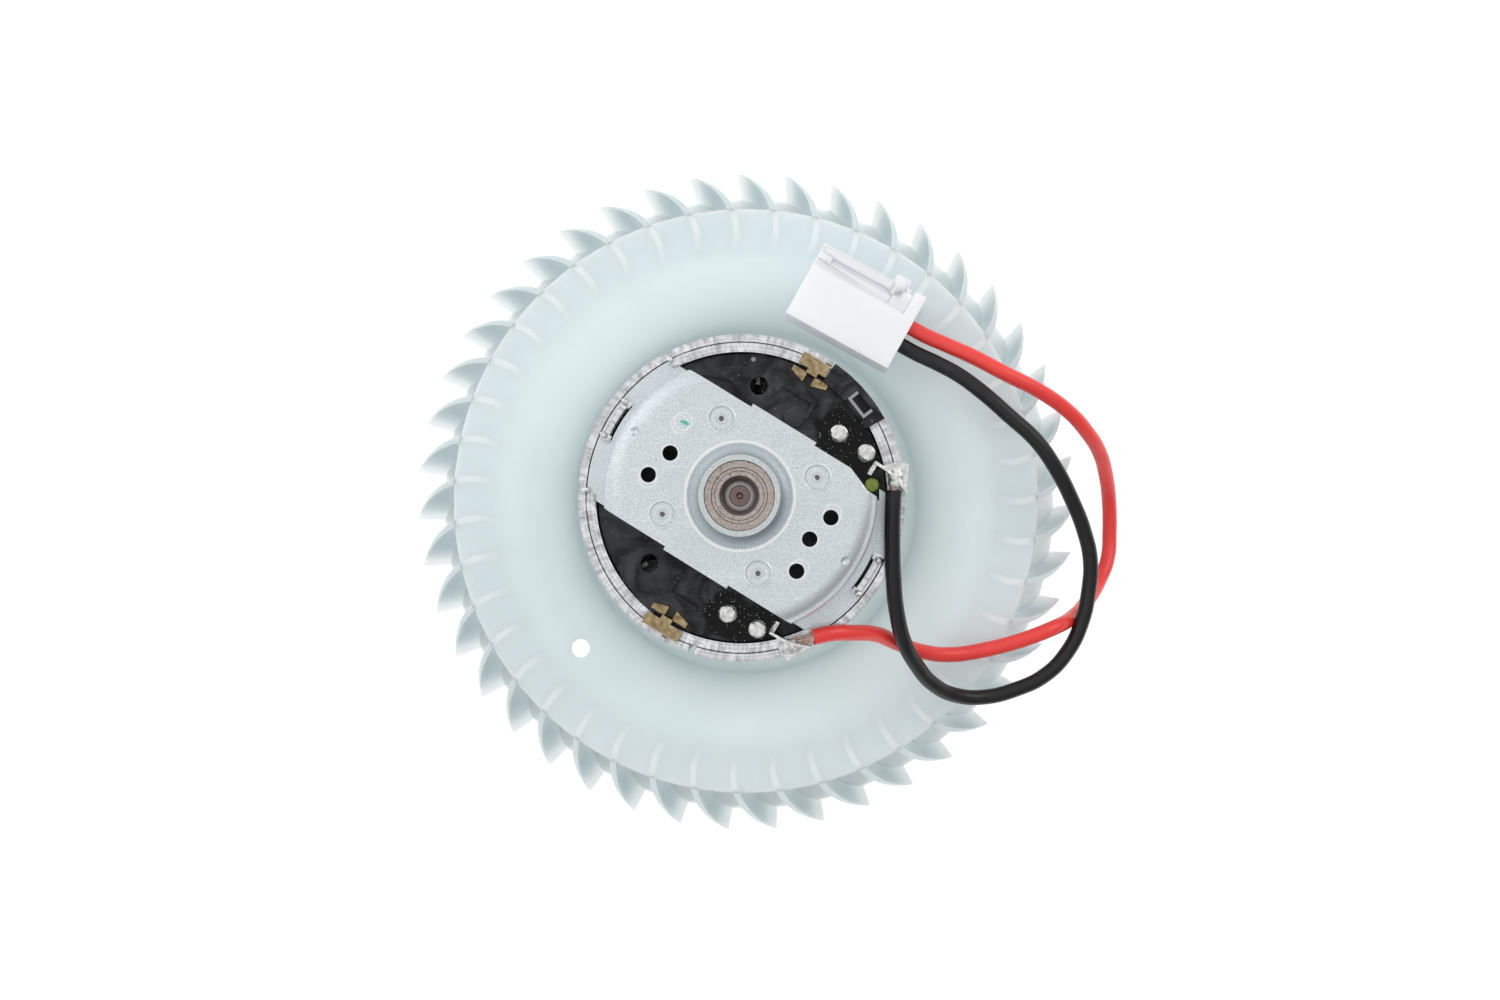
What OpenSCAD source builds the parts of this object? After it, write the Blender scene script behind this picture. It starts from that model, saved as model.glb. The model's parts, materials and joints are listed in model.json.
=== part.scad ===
// Direct-current blower: a brushed permanent-magnet motor nested in a squirrel-cage wheel.
// Millimetres. The wheel's inlet ring lies on the ground plane, the shaft stands on Z,
// and the brush end of the motor is on top.

/* [Wheel] */
// Diameter over the blade tips
wheel_d = 140; // [136:1:146]
// Height from the inlet ring's face to the hub plate's rim
wheel_h = 35; // [34.5:0.1:35.3]
// Number of blades
blade_count = 43; // [24:1:48]
// Thickness of a blade
blade_wall = 1.3; // [1:0.1:1.6]
// Radius of a blade's arc, at the middle of its wall
blade_arc_r = 12.1; // [11:0.1:13]
// Angle between the blade's arc radius and the wheel's radius at the tip
blade_tip_angle = 22; // [18:1:26]
// Arc that a blade spans, in degrees
blade_sweep = 92; // [80:1:96]
// Direction of the first blade tip, in degrees
blade_phase = 7.1; // [0:0.1:8]
// Radial width of the inlet ring
ring_w = 5; // [4:0.5:6]
// Height of the inlet ring
ring_h = 4; // [3:0.5:6]
// Wall of the hub plate
dish_wall = 1.6; // [1.2:0.1:2]
// Radius of the hub plate's rim
dish_rim_r = 62.3; // [60:0.1:64]
// Inner radius of the cup that the motor sits in
cup_r = 38; // [36:0.5:40]
// Radius of the flare between the cup and the rim
flare_r = 14; // [12:0.5:16]
// Diameter of the two draw-through holes in the flare
dish_hole_d = 3.9; // [3:0.1:5]

/* [Motor] */
// Diameter of the shaft
shaft_d = 6; // [5:0.1:7]
// Outside diameter of the drawn can
can_d = 62.2; // [61.8:0.1:62.4]
// Wall of the can
can_wall = 1.9; // [1.6:0.1:2]
// Height of the can's rim
can_rim_z = 60; // [60:1:60]
// Height of the can's front face
can_front_z = 12; // [11:0.5:13]
// Wall of the split steel ring around the can
flux_wall = 1.6; // [1.2:0.1:2]
// Thickness of the magnets
magnet_t = 6.5; // [5:0.1:6.6]
// Radius of the armature's stack
core_r = 21.8; // [21:0.1:22]
// Radius of the commutator
commutator_r = 9; // [8.5:0.1:9.2]
// Number of slots and commutator bars
slot_count = 12; // [8:1:12]

/* [Brush end] */
// Direction of the end plate's long axis, in degrees
bridge_angle = -31.7; // [-45:0.1:-20]
// Thickness of the end plate
plate_t = 1.5; // [1.2:0.1:1.6]
// Height of the end plate's raised face
plate_top_z = 72; // [71:0.5:73]
// Half the width of the end plate
plate_half_w = 15.9; // [15.5:0.1:16.1]
// Distance between the two fixing holes in the end plate
fixing_pitch = 31.8; // [30:0.1:34]
// Diameter of the pierced holes in the end plate
pierced_d = 3; // [2.5:0.1:3.4]
// Thickness of the brush card
card_t = 2; // [1.6:0.1:2.2]
// Width of a carbon brush
brush_w = 5; // [4.5:0.1:5.2]
// Height of a carbon brush
brush_h = 6.9; // [6:0.1:7]
// Length of a carbon brush
brush_l = 12; // [10:0.5:12]

/* [Leads and plug] */
// Diameter of a lead over its insulation
lead_d = 3.2; // [2.6:0.1:3.3]
// Length of the plug
plug_l = 24; // [23:0.5:26]
// Width of the plug's rear flange
plug_w = 16.7; // [16:0.1:18]
// Distance between the plug's two ways
plug_pitch = 4.2; // [4.1:0.1:4.4]

/* [Hidden] */

// Overlap that keeps a cutting solid clear of the face it cuts
cut = 1;
// Clearance around pieces that touch inside one body
ease = 0.05;
// Radial clearance of the shaft in its bushes
running = 0.03;
// Radial clearance between the brushes and the commutator
brush_gap = 0.08;

// Wheel
wheel_r = wheel_d / 2;
ring_inner_r = wheel_r - ring_w;
ring_lip_r = 1.5;
blade_foot_z = 1;
rim_z = wheel_h - dish_wall;
flare_x = cup_r + flare_r;
flare_z = wheel_h - flare_r;
cup_floor_z = 6;
cup_corner_r = 8;
dish_hole_r = 47.4;
dish_hole_angle = 222;
hub_r = 7;
hub_bottom_z = 1.8;
hub_top_z = 7;
hub_fit = 0.03;
rib_r = 24;
rib_w = 1.4;
rib_z = 2.4;
rib_count = 6;

// Shaft and its fittings
shaft_r = shaft_d / 2;
shaft_bottom_z = 0.6;
shaft_flat_x = shaft_r - 0.5;
shaft_flat_top_z = 9;
shaft_chamfer = 0.9;
washer_r = 6.5;
washer_t = 0.6;
washer_z = 1.15;

// Can, flux ring and magnets
can_r = can_d / 2;
can_inner_r = can_r - can_wall;
can_corner_r = 4;
flux_r = can_r + 0.1 + flux_wall;
flux_bottom_z = 20;
flux_top_z = can_rim_z - 0.2;
flux_gap_angle = 252;
flux_gap_w = 1.2;
magnet_outer_r = can_inner_r - 0.1;
magnet_inner_r = magnet_outer_r - magnet_t;
magnet_z = 18;
magnet_h = 28;
magnet_half_angle = 64;
clip_t = 0.8;
vent_r = 3.5;
vent_ring_r = 19;

// Bushes, felts and retainers
retainer_t = 0.8;
bush_r = 6.8;
bush_face_r = 5.4;
bush_chamfer_r = 3.9;
seat_r = bush_r + ease;
collar_r = 7.9;
collar_h = 4;
collar_top_z = plate_top_z + collar_h;
boss_r = 10;
bush_h = 9.5;
rear_bush_top_z = collar_top_z - 0.5;
rear_bush_z = rear_bush_top_z - bush_h;
shaft_top_z = rear_bush_top_z - 2;
front_seat_z = can_front_z - 3;
front_bush_z = front_seat_z + retainer_t + 0.1;
front_bush_top_z = front_bush_z + bush_h - 0.4;
felt_r = 11.9;
retainer_r = 12.8;
rear_flange_r = 17.6;
front_flange_r = 14.5;
rear_retainer_z = plate_top_z - 6.4;
felt_h = 1.4;
rivet_spot = 10.9;

// Armature and commutator
core_z = 21;
core_h = 21;
insulator_t = 0.8;
slot_mid_r = 15.8;
slot_mid_half_w = 3.2;
slot_root_r = 11.4;
slot_root_half_w = 1.9;
winding_ease = 0.3;
turns_in_r = 9;
turns_out_r = 19.6;
turns_edge_r = 1.6;
front_turns_z = 16.2;
rear_turns_top_z = 47;
bars_z = 47.3;
riser_h = 1.3;
riser_r = 10.3;
bars_top_z = 57;
bar_t = 2.4;
bar_gap = 0.6;
sleeve_r = 5;
thrust_r = 6.2;
thrust_t = 0.6;

// End plate
dome_r = 26.8;
dome_fillet = 3.8;
dent_r = 24.1;
flange_top_z = can_rim_z;
flange_r = can_r - 2 * ease;
step_half_w = 16.6;
step_half_l = 7.2;
pierced_holes = [
    [-fixing_pitch / 2, 0], [fixing_pitch / 2, 0], [-17.3, -5.8], [17.2, 5.7], [17, -6.6]
];
corner_cut = [[15.5, 18], [15.5, 15.9], [18.5, 14.7], [20.5, 13.9], [23.8, 13.9], [22.5, 16], [22.5, 18]];
lug_half_angle = 7.3;
lug_slot_half_angle = 8;
lug_top_z = 61;
lug_r = can_inner_r + 1.2;
lug_gap = 0.7;
knob_reach = 0.5;
end_lug_angle = 33;
end_lug_w = 3.6;

// Brush card and what it carries
card_z = 56.4;
card_top_z = card_z + card_t;
card_r = can_inner_r - 0.3;
card_hole_r = 12;
ledge_top_z = 61.5;
ledge_r = 32.6;
ledge_inner_r = 28.2;
ledge_from = 60.5;
ledge_to = 86.5;
socket_angle = 69.5;
socket_in = 28.8;
socket_out = 31.2;
socket_half_w = 2.55;
socket_wall = 0.6;
socket_floor_z = can_rim_z + 0.5;
box_wall = 0.55;
box_ease = 0.1;
box_in = 11.2;
box_out = 28.6;
box_w = brush_w + 2 * box_ease + 2 * box_wall;
box_h = brush_h + 2 * box_ease + 2 * box_wall;
tab_shifts = [-1, 0.1];
tab_root = 1.15;
tab_from = 26.3;
tab_to = 28.3;
tab_l = 2.9;
tab_taper = 0.9;
strap_spans = [[-4.5, 1.6], [-3.9, 4.2]];
strap_neck_half_w = 1.2;
strap_top_z = 62;
strap_from = 29;
strap_reach = 31.4;
brush_z = card_z - box_wall - box_ease - brush_h;
brush_mid_z = brush_z + brush_h / 2;
brush_in = commutator_r + brush_gap;
brush_out = brush_in + brush_l;
spring_wire = 0.5;
spring_r = 2;
spring_turns = 6;
spring_steps = 12;
brush_lead_d = 1.3;
rivet_spots = [[9.9, 21.2], [16.6, 20.7]];
rivet_head_r = 2;
rivet_head_h = 1.6;
rivet_edge = 0.8;
rivet_r = 1.1;
rivet_tail_z = 54.6;
terminal_t = 0.8;
terminal_z = card_z - terminal_t;
riser_u = 18.9;
riser_v = 17.2;
riser_w = 3;
solder_z = 61.3;
solder_t = 0.6;
solder_wall_top_z = 64.3;
solder_line = [[19, 19.5], [22, 19.4], [23.6, 19.1], [25.3, 18.6], [27.3, 17.8]];
solder_wall = [0.2, 0.57];
solder_tab = [[26.6, 19.6], [25.9, 21.2], [24.9, 23.1], [23.4, 22.6], [22.1, 21.6], [21, 20.3]];
choke_r = 2.1;
choke_l = 4.4;
choke_u = 11;
choke_v = 20.6;
choke_z = 51.6;
cap_r = 1.4;
cap_h = 2.6;
cap_edge = 0.6;
cap_spot = [20.9, 15.8];

// Leads: hand-placed centre lines, ending inside the plug
plug_at = [33.9, 34.2, 42];
plug_angle = -29;
plug_half_w = plug_w / 2;
plug_body_y = 5;
plug_drop = 6.4;
plug_rise = 6;
plug_bore_r = lead_d / 2 + 0.25;
plug_bore_l = 6.5;
plug_flange_l = 2.5;
chamber_w = 3.8;
chamber_h = 5.4;
contact_w = 3.2;
contact_h = 4.6;
contact_l = 15.4;
red_route = concat(
    [
        [14.3, -27.7, 63.7], [18, -27, 62.8], [22, -27, 60.5], [27, -27.5, 56],
        [31.5, -29.5, 50.5], [36.5, -31.5, 45.5], [43, -32.5, 41.5], [51, -31.5, 39.5],
        [58.5, -29.5, 39.5], [65.2, -27, 38.6], [70.4, -24.9, 31.2], [74.4, -22, 23.8],
        [78, -17.8, 17.8], [80.5, -12.5, 15], [81, -6.5, 14.5], [80.5, 0, 17], [79, 5.5, 22],
        [76.5, 10.5, 28.5], [73, 14.5, 34], [68.5, 18.5, 38.5], [62, 22.5, 42.5], [54.5, 26, 45],
        [48, 29.5, 44.5], [42.5, 32.2, 43]
    ],
    [for (x = [3.5, 0, -7]) in_plug([x, plug_pitch / 2, 0])]
);
black_route = concat(
    [
        [30.2, 1.3, 63.7], [30.1, -0.9, 63.7], [30, -3.5, 63.5], [30, -9, 62.5], [30.3, -16, 60.8],
        [31, -22.5, 58.5], [32.7, -29, 55], [35.5, -34, 50.5], [39.5, -38.5, 45.5],
        [44.5, -41, 41.5], [50.5, -41.5, 39.5], [57, -40, 38.7], [63.5, -37, 37.5],
        [68.5, -32, 36.2], [71.5, -26, 35.6], [73, -19.5, 35.4], [73.2, -13, 36.8],
        [71.5, -6.5, 39], [68.5, 0, 42], [65, 6, 45], [60.5, 12, 47], [55, 17, 47.5],
        [50, 21.5, 47.3], [45, 25.5, 45.8], [40.5, 28.3, 43.5]
    ],
    [for (x = [3.5, 0, -7]) in_plug([x, -plug_pitch / 2, 0])]
);

// Point of the plug's own frame: x out of its rear face, y across, z up
function in_plug(p) = plug_at + [
    p.x * cos(plug_angle) - p.y * sin(plug_angle),
    p.x * sin(plug_angle) + p.y * cos(plug_angle),
    p.z
];

function unit(v) = v / norm(v);

// Direction of a route at one of its points
function heading(path, k) = unit(path[min(k + 1, len(path) - 1)] - path[max(k - 1, 0)]);

// Side direction at every point, carried along the route so that the tube does not twist
function side_rays(path, ray, k = 0) =
    k == len(path) ? [] :
    let (t = heading(path, k), s = unit(ray - (ray * t) * t))
    concat([s], side_rays(path, s, k + 1));

// Tube of n sides along a route
module tube(path, d, n = 8, ray = [0, 0, 1]) {
    side = side_rays(path, ray);
    points = [
        for (k = [0:len(path) - 1])
            let (over = cross(heading(path, k), side[k]))
                for (j = [0:n - 1])
                    path[k] + d / 2 * (cos(360 * j / n) * side[k] + sin(360 * j / n) * over)
    ];
    last = (len(path) - 1) * n;
    first_cap = [[for (j = [0:n - 1]) j]];
    last_cap = [[for (j = [n - 1:-1:0]) last + j]];
    walls = [
        for (k = [0:len(path) - 2])
            for (j = [0:n - 1])
                let (a = k * n + j, b = k * n + (j + 1) % n)
                    [a, a + n, b + n, b]
    ];
    polyhedron(points, concat(first_cap, walls, last_cap), convexity = 6);
}

// Flat ring between two radii
module ring_2d(outer, inner, fn = 96) {
    difference() {
        circle(r = outer, $fn = fn);
        circle(r = inner, $fn = fn);
    }
}

module ring(outer, inner, z, h) {
    translate([0, 0, z])
        linear_extrude(h)
            ring_2d(outer, inner);
}

// Pie slice between two directions
module slice_2d(r, from, to, steps = 4) {
    reach = r / cos((to - from) / steps / 2);
    polygon(concat(
        [[0, 0]],
        [for (k = [0:steps]) let (a = from + (to - from) * k / steps) reach * [cos(a), sin(a)]]
    ));
}

// Part of a ring between two directions
module ring_part(outer, inner, from, to, z, h) {
    translate([0, 0, z])
        linear_extrude(h)
            intersection() {
                ring_2d(outer, inner);
                slice_2d(outer + cut, from, to);
            }
}

// Quarter of a ring, in the quadrant that the two signs name
module quarter_2d(outer, wall, sx, sy) {
    intersection() {
        ring_2d(outer, outer - wall, 64);
        translate([min(0, sx) * outer, min(0, sy) * outer])
            square(outer);
    }
}

// Half outline of a round post whose top edge is rounded
module round_edged_2d(r, h, edge) {
    square([r, h - edge]);
    square([r - edge, h]);
    translate([r - edge, h - edge])
        circle(r = edge, $fn = 24);
}

// Frame of the end plate and brush card, and its mirrored half
module bridge(side = 1) {
    rotate([0, 0, bridge_angle])
        mirror([0, side < 0 ? 1 : 0, 0])
            children();
}

// Box given by its low and high corners
module block(low, high) {
    translate(low)
        cube(high - low);
}

module impeller_hub_plate() {
    color([0.72, 0.8, 0.8])
        difference() {
            union() {
                rotate_extrude($fn = 180)
                    hub_plate_profile();
                for (k = [0:rib_count - 1])
                    rotate([0, 0, 360 * k / rib_count])
                        translate([hub_r - 0.5, -rib_w / 2, rib_z])
                            cube([rib_r - hub_r + 0.5, rib_w, cup_floor_z - dish_wall - rib_z + 0.2]);
            }
            for (k = [0, 180])
                rotate([0, 0, dish_hole_angle + k])
                    translate([dish_hole_r, 0, flare_z])
                        cylinder(d = dish_hole_d, h = flare_r + cut, $fn = 32);
            hub_bore();
        }
}

module hub_plate_profile() {
    corner_x = cup_r - cup_corner_r;
    corner_z = cup_floor_z + cup_corner_r;
    translate([flare_x, rim_z])
        square([dish_rim_r - flare_x, dish_wall]);
    translate([flare_x, flare_z])
        quarter_2d(flare_r, dish_wall, -1, 1);
    translate([cup_r, corner_z])
        square([dish_wall, flare_z - corner_z]);
    translate([corner_x, corner_z])
        quarter_2d(cup_corner_r + dish_wall, dish_wall, 1, -1);
    translate([0, cup_floor_z - dish_wall])
        square([corner_x, dish_wall]);
    translate([0, hub_bottom_z])
        square([hub_r, hub_top_z - hub_bottom_z]);
}

// Bore of the hub, flattened on one side for the shaft's flat
module hub_bore() {
    translate([0, 0, hub_bottom_z - cut])
        linear_extrude(hub_top_z - hub_bottom_z + 2 * cut)
            intersection() {
                circle(r = shaft_r + hub_fit, $fn = 48);
                translate([-2 * shaft_r, -2 * shaft_r])
                    square([2 * shaft_r + shaft_flat_x + hub_fit, 4 * shaft_r]);
            }
}

// One blade seen along the shaft, its tip on the X axis
module blade_2d() {
    centre = [wheel_r - blade_arc_r * cos(blade_tip_angle), blade_arc_r * sin(blade_tip_angle)];
    nose = -blade_tip_angle - blade_sweep;
    overrun = 12;
    intersection() {
        circle(r = wheel_r, $fn = 180);
        translate(centre)
            union() {
                intersection() {
                    ring_2d(blade_arc_r + blade_wall / 2, blade_arc_r - blade_wall / 2);
                    slice_2d(2 * blade_arc_r, nose, overrun - blade_tip_angle);
                }
                rotate(nose)
                    translate([blade_arc_r, 0])
                        circle(d = blade_wall, $fn = 24);
            }
    }
}

module impeller_blades() {
    color([0.74, 0.82, 0.82])
        difference() {
            translate([0, 0, blade_foot_z])
                linear_extrude(wheel_h - blade_foot_z)
                    for (k = [0:blade_count - 1])
                        rotate(blade_phase + 360 * k / blade_count)
                            blade_2d();
            translate([0, 0, rim_z])
                cylinder(r = dish_rim_r, h = dish_wall + cut, $fn = 180);
            ring(wheel_r + cut, ring_inner_r, blade_foot_z - cut, ring_h - blade_foot_z + cut);
        }
}

module impeller_inlet_ring() {
    color([0.7, 0.78, 0.78])
        rotate_extrude($fn = 180)
            translate([ring_inner_r, 0])
                union() {
                    translate([ring_lip_r, ring_lip_r])
                        circle(r = ring_lip_r, $fn = 32);
                    translate([0, ring_lip_r])
                        square([ring_w, ring_h - ring_lip_r]);
                    translate([ring_lip_r, 0])
                        square([ring_w - ring_lip_r, ring_h]);
                }
}

module hub_retaining_washer() {
    slot_w = 1;
    color("silver")
        difference() {
            ring(washer_r, shaft_r + ease, washer_z, washer_t);
            for (k = [0:5])
                rotate([0, 0, 60 * k])
                    translate([0, -slot_w / 2, washer_z - cut])
                        cube([shaft_r + 1.4, slot_w, washer_t + 2 * cut]);
        }
}

module shaft() {
    mark_r = 0.7;
    color([0.72, 0.7, 0.7])
        difference() {
            union() {
                translate([0, 0, shaft_bottom_z])
                    cylinder(r = shaft_r, h = shaft_top_z - shaft_bottom_z - shaft_chamfer, $fn = 64);
                translate([0, 0, shaft_top_z - shaft_chamfer])
                    cylinder(r1 = shaft_r, r2 = shaft_r - shaft_chamfer, h = shaft_chamfer, $fn = 64);
            }
            translate([shaft_flat_x, -shaft_r, shaft_bottom_z - cut])
                cube([shaft_r, 2 * shaft_r, shaft_flat_top_z - shaft_bottom_z + cut]);
            translate([0, 0, shaft_top_z - mark_r])
                cylinder(r1 = 0, r2 = 2 * mark_r, h = 2 * mark_r, $fn = 32);
        }
}

// One winding slot seen along the shaft; grow widens it all round
module slot_2d(grow = 0) {
    translate([slot_mid_r, 0])
        circle(r = slot_mid_half_w + grow, $fn = 32);
    translate([slot_root_r, 0])
        circle(r = slot_root_half_w + grow, $fn = 32);
    translate([slot_root_r, -slot_root_half_w - grow])
        square([slot_mid_r - slot_root_r, 2 * (slot_root_half_w + grow)]);
}

module slots_2d(grow = 0) {
    for (k = [0:slot_count - 1])
        rotate(360 * k / slot_count)
            slot_2d(grow);
}

// Cross-section of the stack, open to its rim at every slot
module core_2d(outer, mouth_w) {
    difference() {
        ring_2d(outer, shaft_r + ease);
        slots_2d();
        for (k = [0:slot_count - 1])
            rotate(360 * k / slot_count)
                translate([slot_mid_r, -mouth_w / 2])
                    square([outer, mouth_w]);
    }
}

module armature_core() {
    color([0.35, 0.36, 0.38])
        translate([0, 0, core_z])
            linear_extrude(core_h)
                core_2d(core_r, 2);
}

module core_insulators() {
    color([0.75, 0.2, 0.15])
        for (z = [core_z - insulator_t, core_z + core_h])
            translate([0, 0, z])
                linear_extrude(insulator_t)
                    core_2d(core_r - 0.6, 2.4);
}

// Square-ended ring with round edges, as a profile
module coil_profile(inner, outer, z, h) {
    r = turns_edge_r;
    translate([inner, z + r])
        square([outer - inner, h - 2 * r]);
    translate([inner + r, z])
        square([outer - inner - 2 * r, h]);
    for (x = [inner + r, outer - r])
        for (y = [z + r, z + h - r])
            translate([x, y])
                circle(r = r, $fn = 32);
}

module armature_windings() {
    front_h = core_z - insulator_t - front_turns_z;
    rear_z = core_z + core_h + insulator_t;
    color([0.62, 0.25, 0.1])
        union() {
            rotate_extrude($fn = 96)
                coil_profile(turns_in_r, turns_out_r, front_turns_z, front_h);
            rotate_extrude($fn = 96)
                coil_profile(turns_in_r, turns_out_r, rear_z, rear_turns_top_z - rear_z);
            translate([0, 0, front_turns_z + front_h / 2])
                linear_extrude(rear_z - front_turns_z)
                    slots_2d(-winding_ease);
        }
}

module commutator_shell() {
    color([0.15, 0.12, 0.1])
        ring(commutator_r - bar_t - ease, shaft_r + ease, bars_z, bars_top_z - bars_z);
}

module commutator_bars() {
    color([0.8, 0.45, 0.25])
        difference() {
            union() {
                ring(commutator_r, commutator_r - bar_t, bars_z, bars_top_z - bars_z);
                ring(riser_r, commutator_r - bar_t, bars_z, riser_h);
            }
            for (k = [0:slot_count - 1])
                rotate([0, 0, 360 * (k + 0.5) / slot_count])
                    translate([0, -bar_gap / 2, bars_z - cut])
                        cube([riser_r + cut, bar_gap, bars_top_z - bars_z + 2 * cut]);
        }
}

module spacer_sleeve() {
    color([0.85, 0.85, 0.8])
        ring(sleeve_r, shaft_r + ease, bars_top_z + 0.1, rear_bush_z - 3 * thrust_t - bars_top_z - 0.1);
}

module thrust_washers() {
    color([0.4, 0.25, 0.12]) {
        ring(thrust_r, shaft_r + ease, front_bush_top_z + 0.1, thrust_t);
        for (k = [1, 2])
            ring(thrust_r, shaft_r + ease, rear_bush_z - k * (thrust_t + 0.1), thrust_t);
    }
}

module can_profile() {
    corner_x = can_r - can_corner_r;
    corner_z = can_front_z + can_corner_r;
    translate([can_inner_r, corner_z])
        square([can_wall, can_rim_z - corner_z]);
    translate([corner_x, corner_z])
        quarter_2d(can_corner_r, can_wall, 1, -1);
    translate([seat_r, can_front_z])
        square([corner_x - seat_r, can_wall]);
    translate([seat_r, front_seat_z])
        square([can_wall, can_front_z + can_wall - front_seat_z]);
    translate([shaft_r + 1, front_seat_z])
        square([seat_r + can_wall - shaft_r - 1, retainer_t]);
}

// Lugs raised from the rim through and beside the end plate's flange
module staked_lugs() {
    knob_z = flange_top_z + ease;
    for (turn = [0, 180])
        rotate([0, 0, turn]) {
            ring_part(lug_r, can_inner_r + ease, -lug_half_angle, lug_half_angle,
                flange_top_z - plate_t - cut, lug_top_z - flange_top_z + plate_t + cut - 0.4);
            for (s = [-1, 1]) {
                a = s * (lug_slot_half_angle - 0.1);
                ring_part(lug_r + 0.2, can_inner_r - knob_reach, a - 1.4, a + 1.4,
                    knob_z, lug_top_z - knob_z);
                end_lug(s);
            }
        }
}

module end_lug(s) {
    mid = s * (end_lug_angle + end_lug_w / 2);
    knob = s * (end_lug_angle - 1.2);
    ring_part(can_r - ease, can_inner_r + ease, mid - end_lug_w / 2, mid + end_lug_w / 2,
        flange_top_z - cut, lug_top_z - flange_top_z + cut - 0.2);
    ring_part(can_r - 0.2, can_inner_r + 0.2, knob - 1.4, knob + 1.4,
        flange_top_z + ease, lug_top_z - flange_top_z - ease);
}

module motor_can() {
    color([0.62, 0.64, 0.66])
        union() {
            difference() {
                rotate_extrude($fn = 128)
                    can_profile();
                bridge()
                    block([-can_r - cut, -plate_half_w - ease, flange_top_z - plate_t],
                        [can_r + cut, plate_half_w + ease, flange_top_z + cut]);
                for (k = [0:3])
                    rotate([0, 0, 90 * k + 45])
                        translate([vent_ring_r, 0, can_front_z - cut])
                            cylinder(r = vent_r, h = can_wall + 2 * cut, $fn = 32);
            }
            bridge()
                staked_lugs();
        }
}

module flux_ring() {
    color([0.58, 0.6, 0.62])
        difference() {
            ring(flux_r, flux_r - flux_wall, flux_bottom_z, flux_top_z - flux_bottom_z);
            rotate([0, 0, flux_gap_angle])
                translate([can_r - cut, -flux_gap_w / 2, flux_bottom_z - cut])
                    cube([flux_wall + 3 * cut, flux_gap_w, flux_top_z - flux_bottom_z + 2 * cut]);
        }
}

module magnets() {
    color([0.28, 0.28, 0.3])
        bridge()
            for (turn = [0, 180])
                rotate([0, 0, turn])
                    ring_part(magnet_outer_r, magnet_inner_r, -magnet_half_angle,
                        magnet_half_angle, magnet_z, magnet_h);
}

// Bowed clip whose two legs press the magnets apart
module magnet_clips() {
    leg_h = magnet_h - 4;
    leg_r = magnet_inner_r + 1.5;
    spread = magnet_half_angle + 0.3;
    leg_angle = clip_t / leg_r * 180 / PI;
    color([0.7, 0.7, 0.68])
        bridge()
            for (turn = [0, 180])
                rotate([0, 0, turn + 90]) {
                    ring_part(magnet_outer_r, magnet_outer_r - clip_t, spread - 90, 90 - spread,
                        magnet_z + 2, leg_h);
                    for (s = [-1, 1]) {
                        a = s * (90 - spread - leg_angle / 2);
                        ring_part(magnet_outer_r - clip_t / 2, leg_r, a - leg_angle / 2,
                            a + leg_angle / 2, magnet_z + 2, leg_h);
                    }
                }
}

// Sintered bush with a chamfered bore and a stepped outer face
module bush(z, top) {
    chamfer = bush_chamfer_r - shaft_r;
    step = 0.25;
    difference() {
        translate([0, 0, z])
            cylinder(r = bush_r, h = top - z, $fn = 96);
        translate([0, 0, z - cut])
            cylinder(r = shaft_r + running, h = top - z + 2 * cut, $fn = 64);
        translate([0, 0, top - step])
            cylinder(r = bush_face_r, h = step + cut, $fn = 64);
        translate([0, 0, top - step - chamfer])
            cylinder(r1 = shaft_r, r2 = bush_chamfer_r, h = chamfer, $fn = 64);
    }
}

module front_bush() {
    color([0.6, 0.48, 0.42])
        bush(front_bush_z, front_bush_top_z);
}

module rear_bush() {
    color([0.62, 0.5, 0.45])
        bush(rear_bush_z, rear_bush_top_z);
}

// Drawn cap that holds a felt ring around a bush, its flange to one side
module retainer_profile(flange_z, floor_z, outer) {
    low = min(flange_z, floor_z);
    translate([seat_r + ease, floor_z])
        square([retainer_r - seat_r - ease, retainer_t]);
    translate([retainer_r - retainer_t, low])
        square([retainer_t, abs(flange_z - floor_z) + retainer_t]);
    translate([retainer_r - retainer_t, flange_z])
        square([outer - retainer_r + retainer_t, retainer_t]);
}

module front_bush_retainer() {
    color("silver")
        rotate_extrude($fn = 96)
            retainer_profile(can_front_z + can_wall, can_front_z + can_wall + felt_h, front_flange_r);
}

module front_felt_ring() {
    color([0.75, 0.72, 0.62])
        ring(felt_r, seat_r + ease, can_front_z + can_wall, felt_h);
}

// Its flange stays inside the end plate's sides and clear of the pierced holes
module rear_bush_retainer() {
    side = plate_half_w - 1;
    color("silver")
        bridge()
            difference() {
                rotate_extrude($fn = 96)
                    retainer_profile(plate_top_z - plate_t - retainer_t, rear_retainer_z, rear_flange_r);
                for (turn = [0, 180])
                    rotate([0, 0, turn])
                        block([-rear_flange_r - cut, side, rear_retainer_z - cut],
                            [rear_flange_r + cut, rear_flange_r + cut, plate_top_z]);
                for (p = pierced_holes)
                    translate([p.x, p.y, rear_retainer_z])
                        cylinder(d = pierced_d + 0.6, h = plate_top_z - rear_retainer_z, $fn = 32);
            }
}

module rear_felt_ring() {
    floor_z = rear_retainer_z + retainer_t;
    color([0.75, 0.72, 0.62])
        ring(felt_r, seat_r + ease, floor_z, plate_top_z - plate_t - floor_z);
}

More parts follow.
